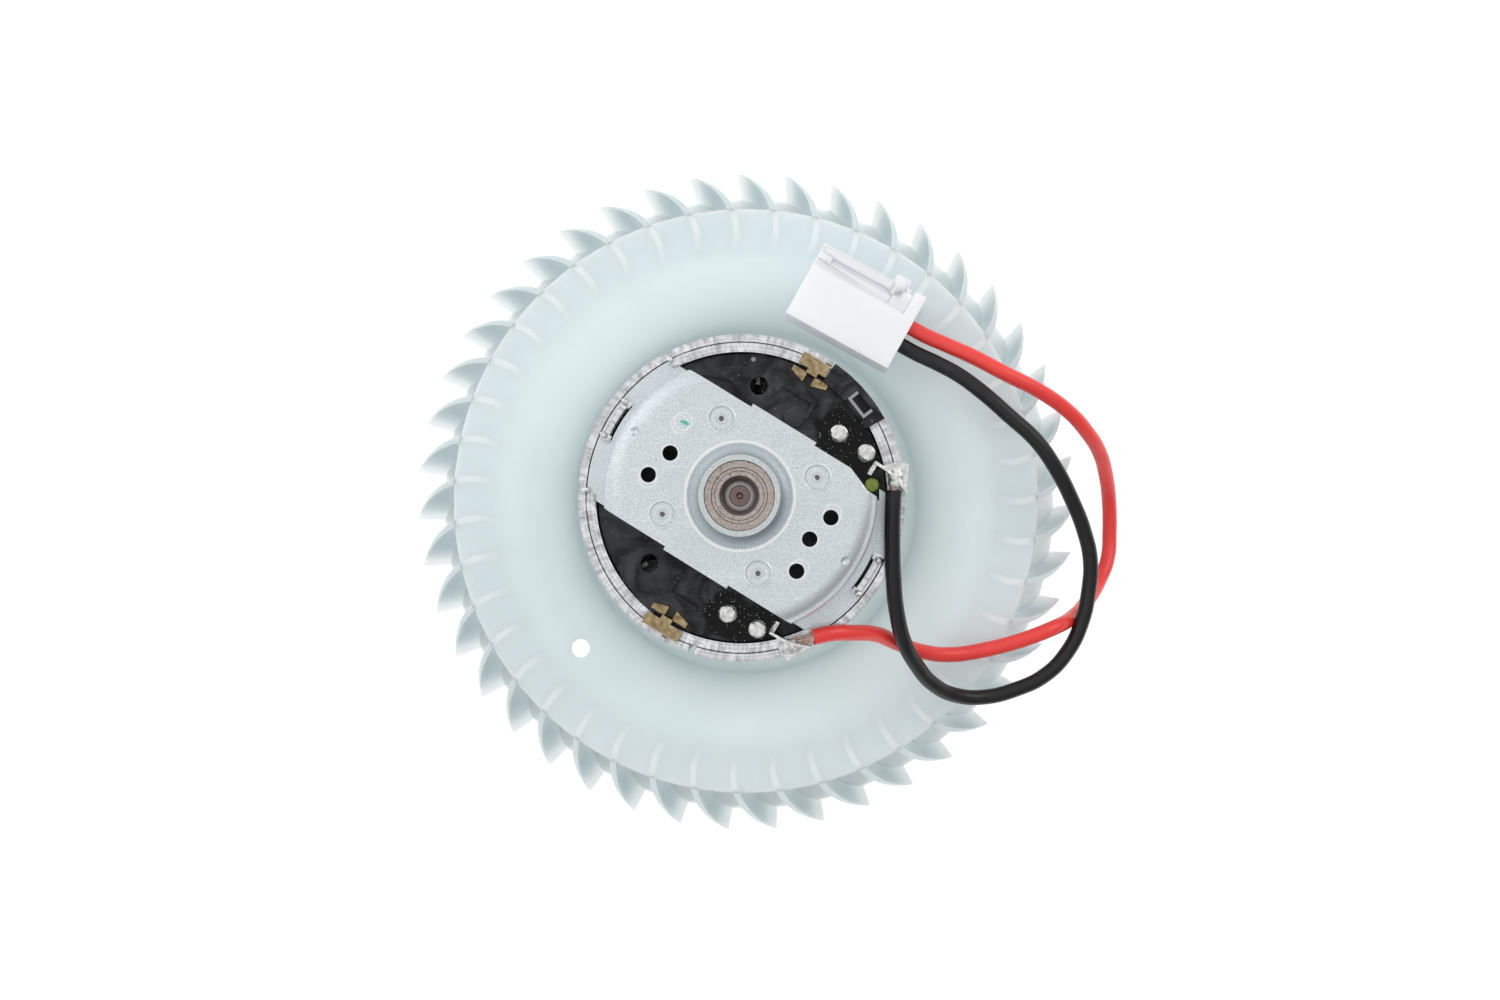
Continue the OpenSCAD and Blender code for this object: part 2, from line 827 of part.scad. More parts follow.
module end_plate_profile() {
    wall_top_z = plate_top_z - dome_fillet;
    root_r = boss_r - collar_r;
    translate([seat_r, plate_top_z - plate_t])
        square([dome_r - dome_fillet - seat_r, plate_t]);
    translate([dome_r - dome_fillet, wall_top_z])
        quarter_2d(dome_fillet, plate_t, 1, 1);
    translate([dome_r - plate_t, flange_top_z - plate_t])
        square([plate_t, wall_top_z - flange_top_z + plate_t]);
    translate([dome_r - plate_t, flange_top_z - plate_t])
        square([flange_r - dome_r + plate_t, plate_t]);
    translate([seat_r, plate_top_z - plate_t])
        square([collar_r - seat_r, collar_top_z - plate_top_z + plate_t]);
    translate([collar_r, plate_top_z])
        difference() {
            square(root_r);
            translate([root_r, root_r])
                circle(r = root_r, $fn = 48);
        }
}

// Ring and centre dot left by staking a post, cut into the raised face
module staked_mark() {
    groove = 0.25;
    translate([0, 0, plate_top_z - 0.15])
        linear_extrude(cut)
            ring_2d(2.3, 2.3 - groove, 48);
    translate([0, 0, plate_top_z - 0.4])
        cylinder(r = 0.45, h = cut, $fn = 24);
}

module rear_end_plate() {
    below = flange_top_z - plate_t - cut;
    above = collar_top_z + cut;
    color([0.72, 0.76, 0.77])
        bridge()
            difference() {
                intersection() {
                    rotate_extrude($fn = 128)
                        end_plate_profile();
                    union() {
                        block([-flange_r - cut, -plate_half_w, below],
                            [flange_r + cut, plate_half_w, above]);
                        block([-step_half_l, -step_half_w, below], [step_half_l, step_half_w, above]);
                    }
                }
                for (p = pierced_holes)
                    translate([p.x, p.y, plate_top_z - plate_t - cut])
                        cylinder(d = pierced_d, h = plate_t + 2 * cut, $fn = 32);
                for (sx = [-1, 1])
                    for (sy = [-1, 1])
                        translate([sx * rivet_spot, sy * rivet_spot, 0])
                            staked_mark();
                for (turn = [0, 180])
                    rotate([0, 0, turn]) {
                        ring_part(lug_r + ease, can_inner_r - lug_gap, -lug_slot_half_angle,
                            lug_slot_half_angle, below, plate_t + 2 * cut);
                        translate([dent_r, 0, plate_top_z + 0.45])
                            sphere(r = 1.1, $fn = 32);
                    }
                translate([0, 0, below])
                    linear_extrude(above - below)
                        polygon(corner_cut);
            }
}

// Raised ledge of the card that reaches over the can's rim, with a socket open to the outside
module card_ledge() {
    well_w = socket_half_w - socket_wall;
    socket_top_z = ledge_top_z + 0.4;
    difference() {
        ring_part(ledge_r, ledge_inner_r, ledge_from, ledge_to,
            card_top_z - 0.2, ledge_top_z - card_top_z + 0.2);
        ring(ledge_r + cut, card_r, card_z, can_rim_z - card_z);
        rotate([0, 0, socket_angle])
            block([ledge_inner_r - cut, -socket_half_w, socket_floor_z],
                [socket_out + 0.1, socket_half_w, ledge_top_z + cut]);
    }
    rotate([0, 0, socket_angle])
        difference() {
            block([socket_in, -socket_half_w, socket_floor_z - 0.2],
                [socket_out, socket_half_w, socket_top_z]);
            block([socket_in + socket_wall, -well_w, socket_floor_z],
                [socket_out + cut, well_w, socket_top_z + cut]);
        }
}

// What both open segments of the card share, for the half on +V
module card_cuts(shift) {
    hole = [-8.8, 21];
    hole_r = 1.85;
    low = card_z - cut;
    high = ledge_top_z + cut;
    translate([hole.x, hole.y, low])
        cylinder(r = hole_r, h = card_t + 2 * cut, $fn = 32);
    for (s = [-1, 1]) {
        u = shift + s * tab_root;
        tip = u + s * tab_l;
        block([u - box_wall / 2 - 0.1, tab_from - 0.1, low],
            [u + box_wall / 2 + 0.1, tab_to + 0.1, high]);
        block([min(u, tip) - 0.1, tab_from - 0.1, card_top_z], [max(u, tip) + 0.1, tab_to + 0.1, high]);
    }
    block([shift - strap_neck_half_w - 0.2, box_out - box_wall - 0.2, low],
        [shift + strap_neck_half_w + 0.2, card_r + cut, card_top_z + cut]);
    block([riser_u - 0.15, riser_v - 0.15, low],
        [riser_u + terminal_t + 0.15, riser_v + riser_w + 0.15, high]);
    for (p = rivet_spots)
        translate([p.x, p.y, low])
            cylinder(r = rivet_r + ease, h = card_t + 2 * cut, $fn = 32);
}

module card_ribs() {
    rib = 0.8;
    high = card_top_z + rib;
    low = card_top_z - 0.2;
    block([-3.9, 23.4, low], [2.9, 23.4 + rib, high]);
    block([2.1, 20.2, low], [2.9, 23.6, high]);
}

module brush_card() {
    pip_r = 0.45;
    boss_h = 0.7;
    color([0.09, 0.09, 0.1])
        bridge()
            difference() {
                union() {
                    ring(card_r, card_hole_r, card_z, card_t);
                    card_ledge();
                    for (turn = [0, 180])
                        rotate([0, 0, turn])
                            card_ribs();
                    translate([0.5, 19.4, card_top_z - 0.2])
                        cylinder(r = 2.1, h = boss_h + 0.2, $fn = 32);
                    translate([-4.2, -18.4, card_top_z - 0.2])
                        cylinder(r = 2.1, h = boss_h + 0.2, $fn = 32);
                    translate([-12.6, 24.9, card_top_z - 0.2])
                        cylinder(r = pip_r, h = 0.6, $fn = 24);
                }
                card_cuts(tab_shifts[0]);
                mirror([0, 1, 0])
                    card_cuts(tab_shifts[1]);
            }
}

// Folded brass box that guides a brush, with clinched tabs and an end strap, on +V
module brush_holder(shift, span) {
    half = box_w / 2;
    low = card_z - box_h;
    fold_z = card_top_z + ease;
    color([0.8, 0.62, 0.3]) {
        difference() {
            block([-half, box_in, low], [half, box_out, card_z]);
            block([-half + box_wall, box_in - cut, low + box_wall],
                [half - box_wall, box_out - box_wall, card_z - box_wall]);
            block([half - box_wall - cut, box_in + 3, brush_mid_z - 1],
                [half + cut, box_out - 6, brush_mid_z + 1]);
        }
        for (s = [-1, 1]) {
            u = shift + s * tab_root;
            tip = u + s * tab_l;
            block([u - box_wall / 2, tab_from, card_z - box_wall],
                [u + box_wall / 2, tab_to, fold_z + box_wall]);
            translate([0, 0, fold_z])
                linear_extrude(box_wall)
                    polygon([[u, tab_from], [u, tab_to], [tip, tab_to], [tip, tab_from + tab_taper]]);
        }
        block([shift - strap_neck_half_w, box_out - box_wall, card_z - box_wall],
            [shift + strap_neck_half_w, box_out, strap_top_z]);
        block([shift - strap_neck_half_w, box_out - box_wall, strap_top_z - box_wall],
            [shift + strap_neck_half_w, strap_reach, strap_top_z]);
        block([span[0], strap_from, strap_top_z - box_wall], [span[1], strap_reach, strap_top_z]);
    }
}

// Carbon block whose face is bedded to the commutator, on +V
module carbon_brush() {
    half = brush_w / 2;
    color([0.2, 0.2, 0.22])
        difference() {
            block([-half, brush_in - 1.2, brush_z], [half, brush_out, brush_z + brush_h]);
            translate([0, 0, brush_z - cut])
                cylinder(r = brush_in, h = brush_h + 2 * cut, $fn = 96);
        }
}

// Compression spring between the brush and the box's end wall, on +V
module brush_spring() {
    from = brush_out + spring_wire / 2 + ease;
    length = box_out - box_wall - spring_wire / 2 - ease - from;
    count = spring_turns * spring_steps;
    path = [
        for (k = [0:count])
            let (a = 360 * k / spring_steps)
                [spring_r * cos(a), from + length * k / count, brush_mid_z + spring_r * sin(a)]
    ];
    color([0.75, 0.75, 0.78])
        tube(path, spring_wire, 6, [0, 1, 0]);
}

// Braided lead from the brush's side to the inner rivet, on +V
module brush_lead() {
    half = brush_w / 2;
    tail = rivet_spots[0] - [1.15, 0];
    path = [
        [half, 18.2, brush_mid_z], [half + 1, 18.2, brush_mid_z], [half + 3, 18.6, brush_mid_z - 0.3],
        [tail.x - 1.3, tail.y - 1.4, brush_mid_z - 0.1], [tail.x - 0.2, tail.y - 0.3, rivet_tail_z - 1.6],
        [tail.x, tail.y, rivet_tail_z - 0.6], [tail.x, tail.y, rivet_tail_z - ease]
    ];
    color([0.75, 0.4, 0.2])
        tube(path, brush_lead_d);
}

// Tinned strip under the card, rising through it to the lug that a lead is soldered to, on +V
module terminal() {
    foot = rivet_spots[1];
    last = len(solder_line) - 1;
    color([0.82, 0.83, 0.83])
        difference() {
            union() {
                block([foot.x - 2, foot.y - 2, terminal_z], [foot.x + 1.8, foot.y + 1.4, card_z]);
                block([foot.x, riser_v, terminal_z], [riser_u + terminal_t, riser_v + riser_w, card_z]);
                block([riser_u, riser_v, terminal_z],
                    [riser_u + terminal_t, riser_v + riser_w, solder_z + solder_t]);
                translate([0, 0, solder_z]) {
                    linear_extrude(solder_t)
                        polygon(concat(solder_line, solder_tab));
                    linear_extrude(solder_wall_top_z - solder_z)
                        polygon(concat(
                            solder_line,
                            [for (k = [last:-1:0]) solder_line[k] + solder_wall]
                        ));
                }
            }
            translate([foot.x, foot.y, terminal_z - cut])
                cylinder(r = rivet_r + ease, h = terminal_t + 2 * cut, $fn = 32);
        }
}

// Rivet with a round-edged head above the card and a flat tail below, on +V
module card_rivet(p) {
    translate([p.x, p.y, 0]) {
        translate([0, 0, card_top_z])
            rotate_extrude($fn = 48)
                round_edged_2d(rivet_head_r, rivet_head_h, rivet_edge);
        translate([0, 0, rivet_tail_z])
            cylinder(r = rivet_r, h = card_top_z - rivet_tail_z + 0.2, $fn = 32);
        translate([0, 0, rivet_tail_z])
            cylinder(r = rivet_r + 0.5, h = terminal_z - rivet_tail_z, $fn = 32);
    }
}

module card_rivets() {
    color([0.8, 0.81, 0.82])
        for (side = [-1, 1])
            bridge(side)
                for (p = rivet_spots)
                    card_rivet(p);
}

// Ferrite rod with its coil, hung between the two rivets of each side
module suppression_chokes() {
    color([0.6, 0.3, 0.15])
        for (side = [-1, 1])
            bridge(side) {
                translate([choke_u, choke_v, choke_z])
                    rotate([0, 90, 0])
                        cylinder(r = choke_r, h = choke_l, $fn = 32);
                for (p = rivet_spots)
                    block([p.x - 0.4, p.y - 0.4, choke_z], [p.x + 0.4, p.y + 0.4, rivet_tail_z - ease]);
                block([rivet_spots[0].x - 0.4, choke_v - 0.4, choke_z - 0.4],
                    [rivet_spots[1].x + 0.4, choke_v + 0.4, choke_z + 0.4]);
            }
}

module suppression_capacitor() {
    color([0.6, 0.66, 0.15])
        bridge()
            translate([cap_spot.x, cap_spot.y, card_top_z + ease])
                rotate_extrude($fn = 48)
                    round_edged_2d(cap_r, cap_h, cap_edge);
}

// The plug's own frame
module plug_frame() {
    translate(plug_at)
        rotate([0, 0, plug_angle])
            children();
}

module connector_housing() {
    latch_in = 6.6;
    ledge = 3;
    color([0.93, 0.93, 0.96])
        plug_frame()
            difference() {
                union() {
                    block([-plug_l, -plug_half_w, -plug_drop], [0, plug_body_y, plug_rise]);
                    block([-plug_flange_l, -plug_half_w, -plug_drop], [0, plug_half_w, plug_rise]);
                    block([-plug_l, plug_body_y - cut, -ledge], [ledge - plug_l, plug_half_w, ledge + 1.5]);
                    block([-plug_l, latch_in, -ledge], [-plug_flange_l - 1, plug_half_w, ledge + 1.5]);
                    block([-7.6, plug_half_w - cut, -ledge], [-4.4, plug_half_w + 1.7, ledge + 1.5]);
                }
                for (s = [-1, 1])
                    translate([0, s * plug_pitch / 2, 0]) {
                        translate([-plug_bore_l - cut, 0, 0])
                            rotate([0, 90, 0])
                                cylinder(r = plug_bore_r, h = plug_bore_l + 2 * cut, $fn = 32);
                        block([-plug_l - cut, -chamber_w / 2, -chamber_h / 2],
                            [-plug_bore_l, chamber_w / 2, chamber_h / 2]);
                    }
            }
}

module connector_contacts() {
    start = -plug_bore_l - 0.1;
    mouth = 9;
    skin = 0.5;
    color([0.85, 0.7, 0.4])
        plug_frame()
            for (s = [-1, 1])
                translate([0, s * plug_pitch / 2, 0])
                    difference() {
                        block([start - contact_l, -contact_w / 2, -contact_h / 2],
                            [start, contact_w / 2, contact_h / 2]);
                        block([start - contact_l - cut, -contact_w / 2 + skin, -contact_h / 2 + skin],
                            [start - contact_l + mouth, contact_w / 2 - skin, contact_h / 2 - skin]);
                    }
}

module red_wire() {
    color([0.9, 0.2, 0.2])
        tube(red_route, lead_d);
}

module black_wire() {
    color([0.1, 0.1, 0.1])
        tube(black_route, lead_d);
}

impeller_hub_plate();
impeller_blades();
impeller_inlet_ring();
hub_retaining_washer();
shaft();
armature_core();
core_insulators();
armature_windings();
commutator_shell();
commutator_bars();
spacer_sleeve();
thrust_washers();
motor_can();
flux_ring();
magnets();
magnet_clips();
front_bush();
front_felt_ring();
front_bush_retainer();
rear_end_plate();
rear_bush();
rear_felt_ring();
rear_bush_retainer();
brush_card();
bridge(-1) brush_holder(tab_shifts[1], strap_spans[1]);  // brush_holder_positive
bridge(1) brush_holder(tab_shifts[0], strap_spans[0]);  // brush_holder_negative
bridge(-1) carbon_brush();  // carbon_brush_positive
bridge(1) carbon_brush();  // carbon_brush_negative
bridge(-1) brush_spring();  // brush_spring_positive
bridge(1) brush_spring();  // brush_spring_negative
bridge(-1) brush_lead();  // brush_lead_positive
bridge(1) brush_lead();  // brush_lead_negative
bridge(-1) terminal();  // terminal_positive
bridge(1) terminal();  // terminal_negative
card_rivets();
suppression_chokes();
suppression_capacitor();
red_wire();
black_wire();
connector_housing();
connector_contacts();
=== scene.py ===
import json
import math

import bmesh
import bpy
from mathutils import Matrix, Vector, noise


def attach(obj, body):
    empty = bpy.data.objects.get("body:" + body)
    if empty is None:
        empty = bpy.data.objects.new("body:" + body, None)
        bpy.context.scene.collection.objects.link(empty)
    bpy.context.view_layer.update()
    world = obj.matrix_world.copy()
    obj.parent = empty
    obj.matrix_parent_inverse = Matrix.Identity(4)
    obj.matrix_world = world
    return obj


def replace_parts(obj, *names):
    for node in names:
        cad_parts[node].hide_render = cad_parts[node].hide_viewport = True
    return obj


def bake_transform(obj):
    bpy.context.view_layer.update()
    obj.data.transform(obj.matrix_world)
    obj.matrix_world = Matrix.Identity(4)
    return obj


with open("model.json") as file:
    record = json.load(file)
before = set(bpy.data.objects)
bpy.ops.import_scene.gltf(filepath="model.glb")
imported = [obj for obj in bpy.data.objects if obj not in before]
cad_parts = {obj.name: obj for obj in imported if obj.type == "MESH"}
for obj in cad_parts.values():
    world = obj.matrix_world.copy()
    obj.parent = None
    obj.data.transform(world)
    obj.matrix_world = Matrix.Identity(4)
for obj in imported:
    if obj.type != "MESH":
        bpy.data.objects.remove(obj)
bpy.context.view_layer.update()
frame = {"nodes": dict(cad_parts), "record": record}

cadNodes = frame["nodes"]
bodyOf = {
    node: body
    for body, members in frame["record"]["behaviour"]["bodies"].items()
    for node in members
}
slotOf = {part["node"]: part["material_slot"] for part in frame["record"]["subparts"]}
scene = bpy.context.scene
mm = 0.001
bridgeTurn = math.radians(-31.7)  # long axis of the end plate


def addObject(name, data):
    made = bpy.data.objects.new(name, data)
    scene.collection.objects.link(made)
    return made


def bridged(u, v, z):
    # a point of the end plate's own frame, in millimetres, put in the part's frame
    x = u * math.cos(bridgeTurn) - v * math.sin(bridgeTurn)
    y = u * math.sin(bridgeTurn) + v * math.cos(bridgeTurn)
    return Vector((x, y, z)) * mm


# Node helpers

def feed(tree, node, wires):
    # wires each value into the node, or sets it; a colour is given as red, green and blue
    for key, value in wires.items():
        socket = node.inputs[key]
        if isinstance(value, bpy.types.NodeSocket):
            tree.links.new(value, socket)
        else:
            socket.default_value = (*value, 1.0) if socket.type == "RGBA" else value


def addNode(tree, kind, wires=None, **settings):
    node = tree.nodes.new("ShaderNode" + kind)
    for key, value in settings.items():
        setattr(node, key, value)
    feed(tree, node, wires or {})
    return node


def math1(tree, operation, a, b=0.0, c=0.0):
    return addNode(tree, "Math", {0: a, 1: b, 2: c}, operation=operation).outputs[0]


def times(tree, a, b):
    return math1(tree, "MULTIPLY", a, b)


def ranged(tree, value, low, high, outLow=0.0, outHigh=1.0):
    wires = {"Value": value, "From Min": low, "From Max": high, "To Min": outLow, "To Max": outHigh}
    return addNode(tree, "MapRange", wires).outputs["Result"]


def smoothed(tree, value, low, high):
    wires = {"Value": value, "From Min": low, "From Max": high}
    return addNode(tree, "MapRange", wires, interpolation_type="SMOOTHSTEP").outputs["Result"]


def clouded(tree, at, scale, detail=2.0):
    return addNode(tree, "TexNoise", {"Vector": at, "Scale": scale, "Detail": detail}).outputs[0]


def mixed(tree, factor, a, b):
    return addNode(tree, "Mix", {0: factor, 6: a, 7: b}, data_type="RGBA").outputs[2]


def laidOver(tree, tint, mask, share, colour):
    # a share of the colour laid over the tint where the mask is 1
    return mixed(tree, times(tree, mask, share), tint, colour)


# Camera, table and light

photoCamera = {"place": (0.0101, -0.0083, 0.435), "aim": (0.00115, 0.0, 0.035), "lens": 45.0, "sensor": 36.0}
studio = {
    "tableSize": 3.0,
    "tableColour": (0.12, 0.12, 0.121),
    "tableGlow": 1.0,  # the photograph's table throws light back from below
    "airColour": (0.985, 0.995, 1.0),
    "airBright": (-0.5, 0.42, 0.757),  # the side that the soft light comes from
    "airTurn": -0.5,  # how far round from that side the light stops falling off, as a cosine
    "airStrength": (0.26, 1.17),  # away from that side, and on it
    "lamps": [  # place, aim, width, height, watts
        ((-0.85, 0.65, 0.35), (0.0, 0.0, 0.04), 0.9, 0.9, 0.8),
        ((0.6, 0.35, 0.5), (0.0, 0.0, 0.04), 0.5, 0.5, 1.2),
    ],
}


def aimedPose(place, aim, up=(0.0, 1.0, 0.0)):
    back = (Vector(place) - Vector(aim)).normalized()
    side = Vector(up).cross(back).normalized()
    pose = Matrix((side, back.cross(side), back)).transposed().to_4x4()
    pose.translation = Vector(place)
    return pose


def makeCamera(settings):
    data = bpy.data.cameras.new("photoCamera")
    data.lens = settings["lens"]
    data.sensor_width = settings["sensor"]
    data.clip_start = 0.01
    camera = addObject("photoCamera", data)
    camera.matrix_world = aimedPose(settings["place"], settings["aim"])
    scene.camera = camera


def makeAir(settings):
    # soft light from one side; beyond the table the camera sees plain white
    world = bpy.data.worlds.new("softAir")
    world.use_nodes = True
    tree = world.node_tree
    way = addNode(tree, "TexCoord").outputs["Generated"]
    side = addNode(tree, "VectorMath", {0: way, 1: settings["airBright"]}, operation="DOT_PRODUCT").outputs["Value"]
    shade = ranged(tree, side, settings["airTurn"], 1.0, *settings["airStrength"])
    seen = addNode(tree, "LightPath").outputs["Is Camera Ray"]
    feed(tree, tree.nodes["Background"], {
        "Color": settings["airColour"], "Strength": math1(tree, "MAXIMUM", shade, seen),
    })
    scene.world = world
    scene.view_settings.view_transform = "Standard"


def makeLamps(settings):
    for count, (place, aim, width, height, watts) in enumerate(settings["lamps"]):
        data = bpy.data.lights.new(f"softbox{count}", "AREA")
        data.shape = "RECTANGLE"
        data.size, data.size_y = width, height
        data.energy = watts
        lamp = addObject(data.name, data)
        lamp.matrix_world = aimedPose(place, aim)


def makeTable(settings):
    shape = bmesh.new()
    bmesh.ops.create_grid(shape, x_segments=1, y_segments=1, size=settings["tableSize"] / 2)
    mesh = bpy.data.meshes.new("table")
    shape.to_mesh(mesh)
    shape.free()
    table = addObject("table", mesh)
    material = bpy.data.materials.new("tablePaper")
    material.use_nodes = True
    feed(material.node_tree, material.node_tree.nodes["Principled BSDF"], {
        "Base Color": settings["tableColour"], "Roughness": 0.9, "Specular IOR Level": 0.1,
        "Emission Color": (1.0, 1.0, 1.0), "Emission Strength": settings["tableGlow"],
    })
    mesh.materials.append(material)


makeCamera(photoCamera)
makeAir(studio)
makeLamps(studio)
makeTable(studio)
print("camera, table and light made")


# Leads: the centre lines of the part's source, in millimetres

leads = {
    "diameter": 3.2,
    "plugPlace": (33.9, 34.2, 42.0),
    "plugTurn": -29.0,
    "wayPitch": 4.2,
    "plugEnds": (3.5, 0.0, -7.0),  # how far out of the plug's rear face the last points lie
    "red": [
        (14.3, -27.7, 63.7), (18, -27, 62.8), (22, -27, 60.5), (27, -27.5, 56),
        (31.5, -29.5, 50.5), (36.5, -31.5, 45.5), (43, -32.5, 41.5), (51, -31.5, 39.5),
        (58.5, -29.5, 39.5), (65.2, -27, 38.6), (70.4, -24.9, 31.2), (74.4, -22, 23.8),
        (78, -17.8, 17.8), (80.5, -12.5, 15), (81, -6.5, 14.5), (80.5, 0, 17), (79, 5.5, 22),
        (76.5, 10.5, 28.5), (73, 14.5, 34), (68.5, 18.5, 38.5), (62, 22.5, 42.5), (54.5, 26, 45),
        (48, 29.5, 44.5), (42.5, 32.2, 43),
    ],
    "black": [
        (30.2, 1.3, 63.7), (30.1, -0.9, 63.7), (30, -3.5, 63.5), (30, -9, 62.5), (30.3, -16, 60.8),
        (31, -22.5, 58.5), (32.7, -29, 55), (35.5, -34, 50.5), (39.5, -38.5, 45.5),
        (44.5, -41, 41.5), (50.5, -41.5, 39.5), (57, -40, 38.7), (63.5, -37, 37.5),
        (68.5, -32, 36.2), (71.5, -26, 35.6), (73, -19.5, 35.4), (73.2, -13, 36.8),
        (71.5, -6.5, 39), (68.5, 0, 42), (65, 6, 45), (60.5, 12, 47), (55, 17, 47.5),
        (50, 21.5, 47.3), (45, 25.5, 45.8), (40.5, 28.3, 43.5),
    ],
}


def inPlug(x, y, z):
    # a point of the plug's own frame: x out of its rear face, y across, z up
    lie = math.radians(leads["plugTurn"])
    home = Vector(leads["plugPlace"])
    return home + Vector((x * math.cos(lie) - y * math.sin(lie), x * math.sin(lie) + y * math.cos(lie), z))


def makeTube(name, lines, thick, smoothness, roundness):
    # round wires of the given radius through the given points, in millimetres
    curve = bpy.data.curves.new(name, "CURVE")
    curve.dimensions = "3D"
    curve.resolution_u = smoothness
    curve.bevel_depth = 1.0  # each knot's own radius sizes the wire, which keeps the curve's box true
    curve.bevel_resolution = roundness
    curve.use_fill_caps = True
    for points in lines:
        line = curve.splines.new("BEZIER")
        line.bezier_points.add(len(points) - 1)
        for knot, point in zip(line.bezier_points, points):
            knot.co = Vector(point) * mm
            knot.radius = thick * mm
            knot.handle_left_type = knot.handle_right_type = "AUTO"
    return addObject(name, curve)


laidLeads = {}  # each wire's curve, and where it leaves its lug
for colour, side in (("red", 1), ("black", -1)):
    ends = [inPlug(x, side * leads["wayPitch"] / 2, 0) for x in leads["plugEnds"]]
    points = [Vector(p) for p in leads[colour]] + ends
    lead = makeTube(colour + "Lead", [points], leads["diameter"] / 2, 10, 6)
    laidLeads[colour + "_wire"] = (lead, points[0] * mm)
bpy.context.view_layer.update()
for node, (lead, start) in laidLeads.items():
    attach(lead, bodyOf[node])
    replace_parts(lead, node)
print("leads laid")


# Shared effects

def startGroup(name, taken, given):
    tree = bpy.data.node_groups.new(name, "ShaderNodeTree")
    for label, kind, value in taken:
        socket = tree.interface.new_socket(name=label, in_out="INPUT", socket_type="NodeSocket" + kind)
        if value is not None:
            socket.default_value = value
    for label, kind in given:
        tree.interface.new_socket(name=label, in_out="OUTPUT", socket_type="NodeSocket" + kind)
    return tree, tree.nodes.new("NodeGroupInput").outputs, tree.nodes.new("NodeGroupOutput").inputs


def useGroup(tree, group, wires):
    node = tree.nodes.new("ShaderNodeGroup")
    node.node_tree = group
    feed(tree, node, wires)
    return node.outputs


def makeMottle():
    # two colours mixed by cloudy noise
    tree, taken, given = startGroup(
        "mottle",
        [("Vector", "Vector", None), ("Scale", "Float", 100.0), ("Detail", "Float", 3.0),
         ("Contrast", "Float", 2.0), ("Light", "Color", (1, 1, 1, 1)), ("Dark", "Color", (0, 0, 0, 1))],
        [("Color", "Color"), ("Value", "Float")],
    )
    cloud = clouded(tree, taken["Vector"], taken["Scale"], taken["Detail"])
    lifted = math1(tree, "MULTIPLY_ADD", math1(tree, "SUBTRACT", cloud, 0.5), taken["Contrast"], 0.5)
    value = addNode(tree, "Clamp", {"Value": lifted}).outputs[0]
    tree.links.new(mixed(tree, value, taken["Dark"], taken["Light"]), given["Color"])
    tree.links.new(value, given["Value"])
    return tree


def makeSpecks():
    # round specks scattered one to a cell, only in a share of the cells
    tree, taken, given = startGroup(
        "specks",
        [("Vector", "Vector", None), ("Scale", "Float", 1000.0), ("Size", "Float", 0.2), ("Share", "Float", 0.2)],
        [("Mask", "Float")],
    )
    cells = addNode(tree, "TexVoronoi", {"Vector": taken["Vector"], "Scale": taken["Scale"]})
    chance = addNode(tree, "SeparateColor", {"Color": cells.outputs["Color"]})
    chosen = math1(tree, "LESS_THAN", chance.outputs[0], taken["Share"])
    size = times(tree, taken["Size"], math1(tree, "ADD", chance.outputs[1], 0.3))
    edge = math1(tree, "DIVIDE", cells.outputs["Distance"], size)
    dot = addNode(tree, "MapRange", {"Value": edge, "From Min": 1.0, "From Max": 0.6}).outputs["Result"]
    tree.links.new(times(tree, chosen, dot), given["Mask"])
    return tree


def makeScratches():
    # thin straight marks in two directions
    tree, taken, given = startGroup(
        "scratches",
        [("Vector", "Vector", None), ("Scale", "Float", 60.0), ("Width", "Float", 0.01)],
        [("Mask", "Float")],
    )
    marks = []
    for lie in (0.5, 2.2):
        turned = addNode(tree, "Mapping", {
            "Vector": taken["Vector"], "Rotation": (0.0, 0.0, lie), "Scale": (1.0, 14.0, 1.0),
        })
        field = clouded(tree, turned.outputs[0], taken["Scale"], 1.0)
        ridge = math1(tree, "ABSOLUTE", math1(tree, "SUBTRACT", field, 0.62))
        marks.append(math1(tree, "LESS_THAN", ridge, taken["Width"]))
    tree.links.new(math1(tree, "MAXIMUM", *marks), given["Mask"])
    return tree


def makePolar():
    # radius, turn from 0 to 1 and height round the shaft
    tree, taken, given = startGroup(
        "polar", [("Vector", "Vector", None)], [("Radius", "Float"), ("Turn", "Float"), ("Height", "Float")],
    )
    apart = addNode(tree, "SeparateXYZ", {0: taken["Vector"]}).outputs
    flat = addNode(tree, "CombineXYZ", {0: apart[0], 1: apart[1], 2: 0.0}).outputs[0]
    radius = addNode(tree, "VectorMath", {0: flat}, operation="LENGTH").outputs["Value"]
    angle = math1(tree, "ARCTAN2", apart[1], apart[0])
    tree.links.new(radius, given["Radius"])
    tree.links.new(math1(tree, "MULTIPLY_ADD", angle, 1 / math.tau, 0.5), given["Turn"])
    tree.links.new(apart[2], given["Height"])
    return tree


def makeLathe():
    # fine rings round the shaft, uneven from ring to ring
    tree, taken, given = startGroup(
        "latheMarks", [("Radius", "Float", 0.0), ("Pitch", "Float", 0.0002)], [("Height", "Float")],
    )
    spread = math1(tree, "DIVIDE", taken["Radius"], taken["Pitch"])
    field = addNode(tree, "TexNoise", {"W": spread, "Scale": 1.0, "Detail": 2.0}, noise_dimensions="1D")
    tree.links.new(field.outputs[0], given["Height"])
    return tree


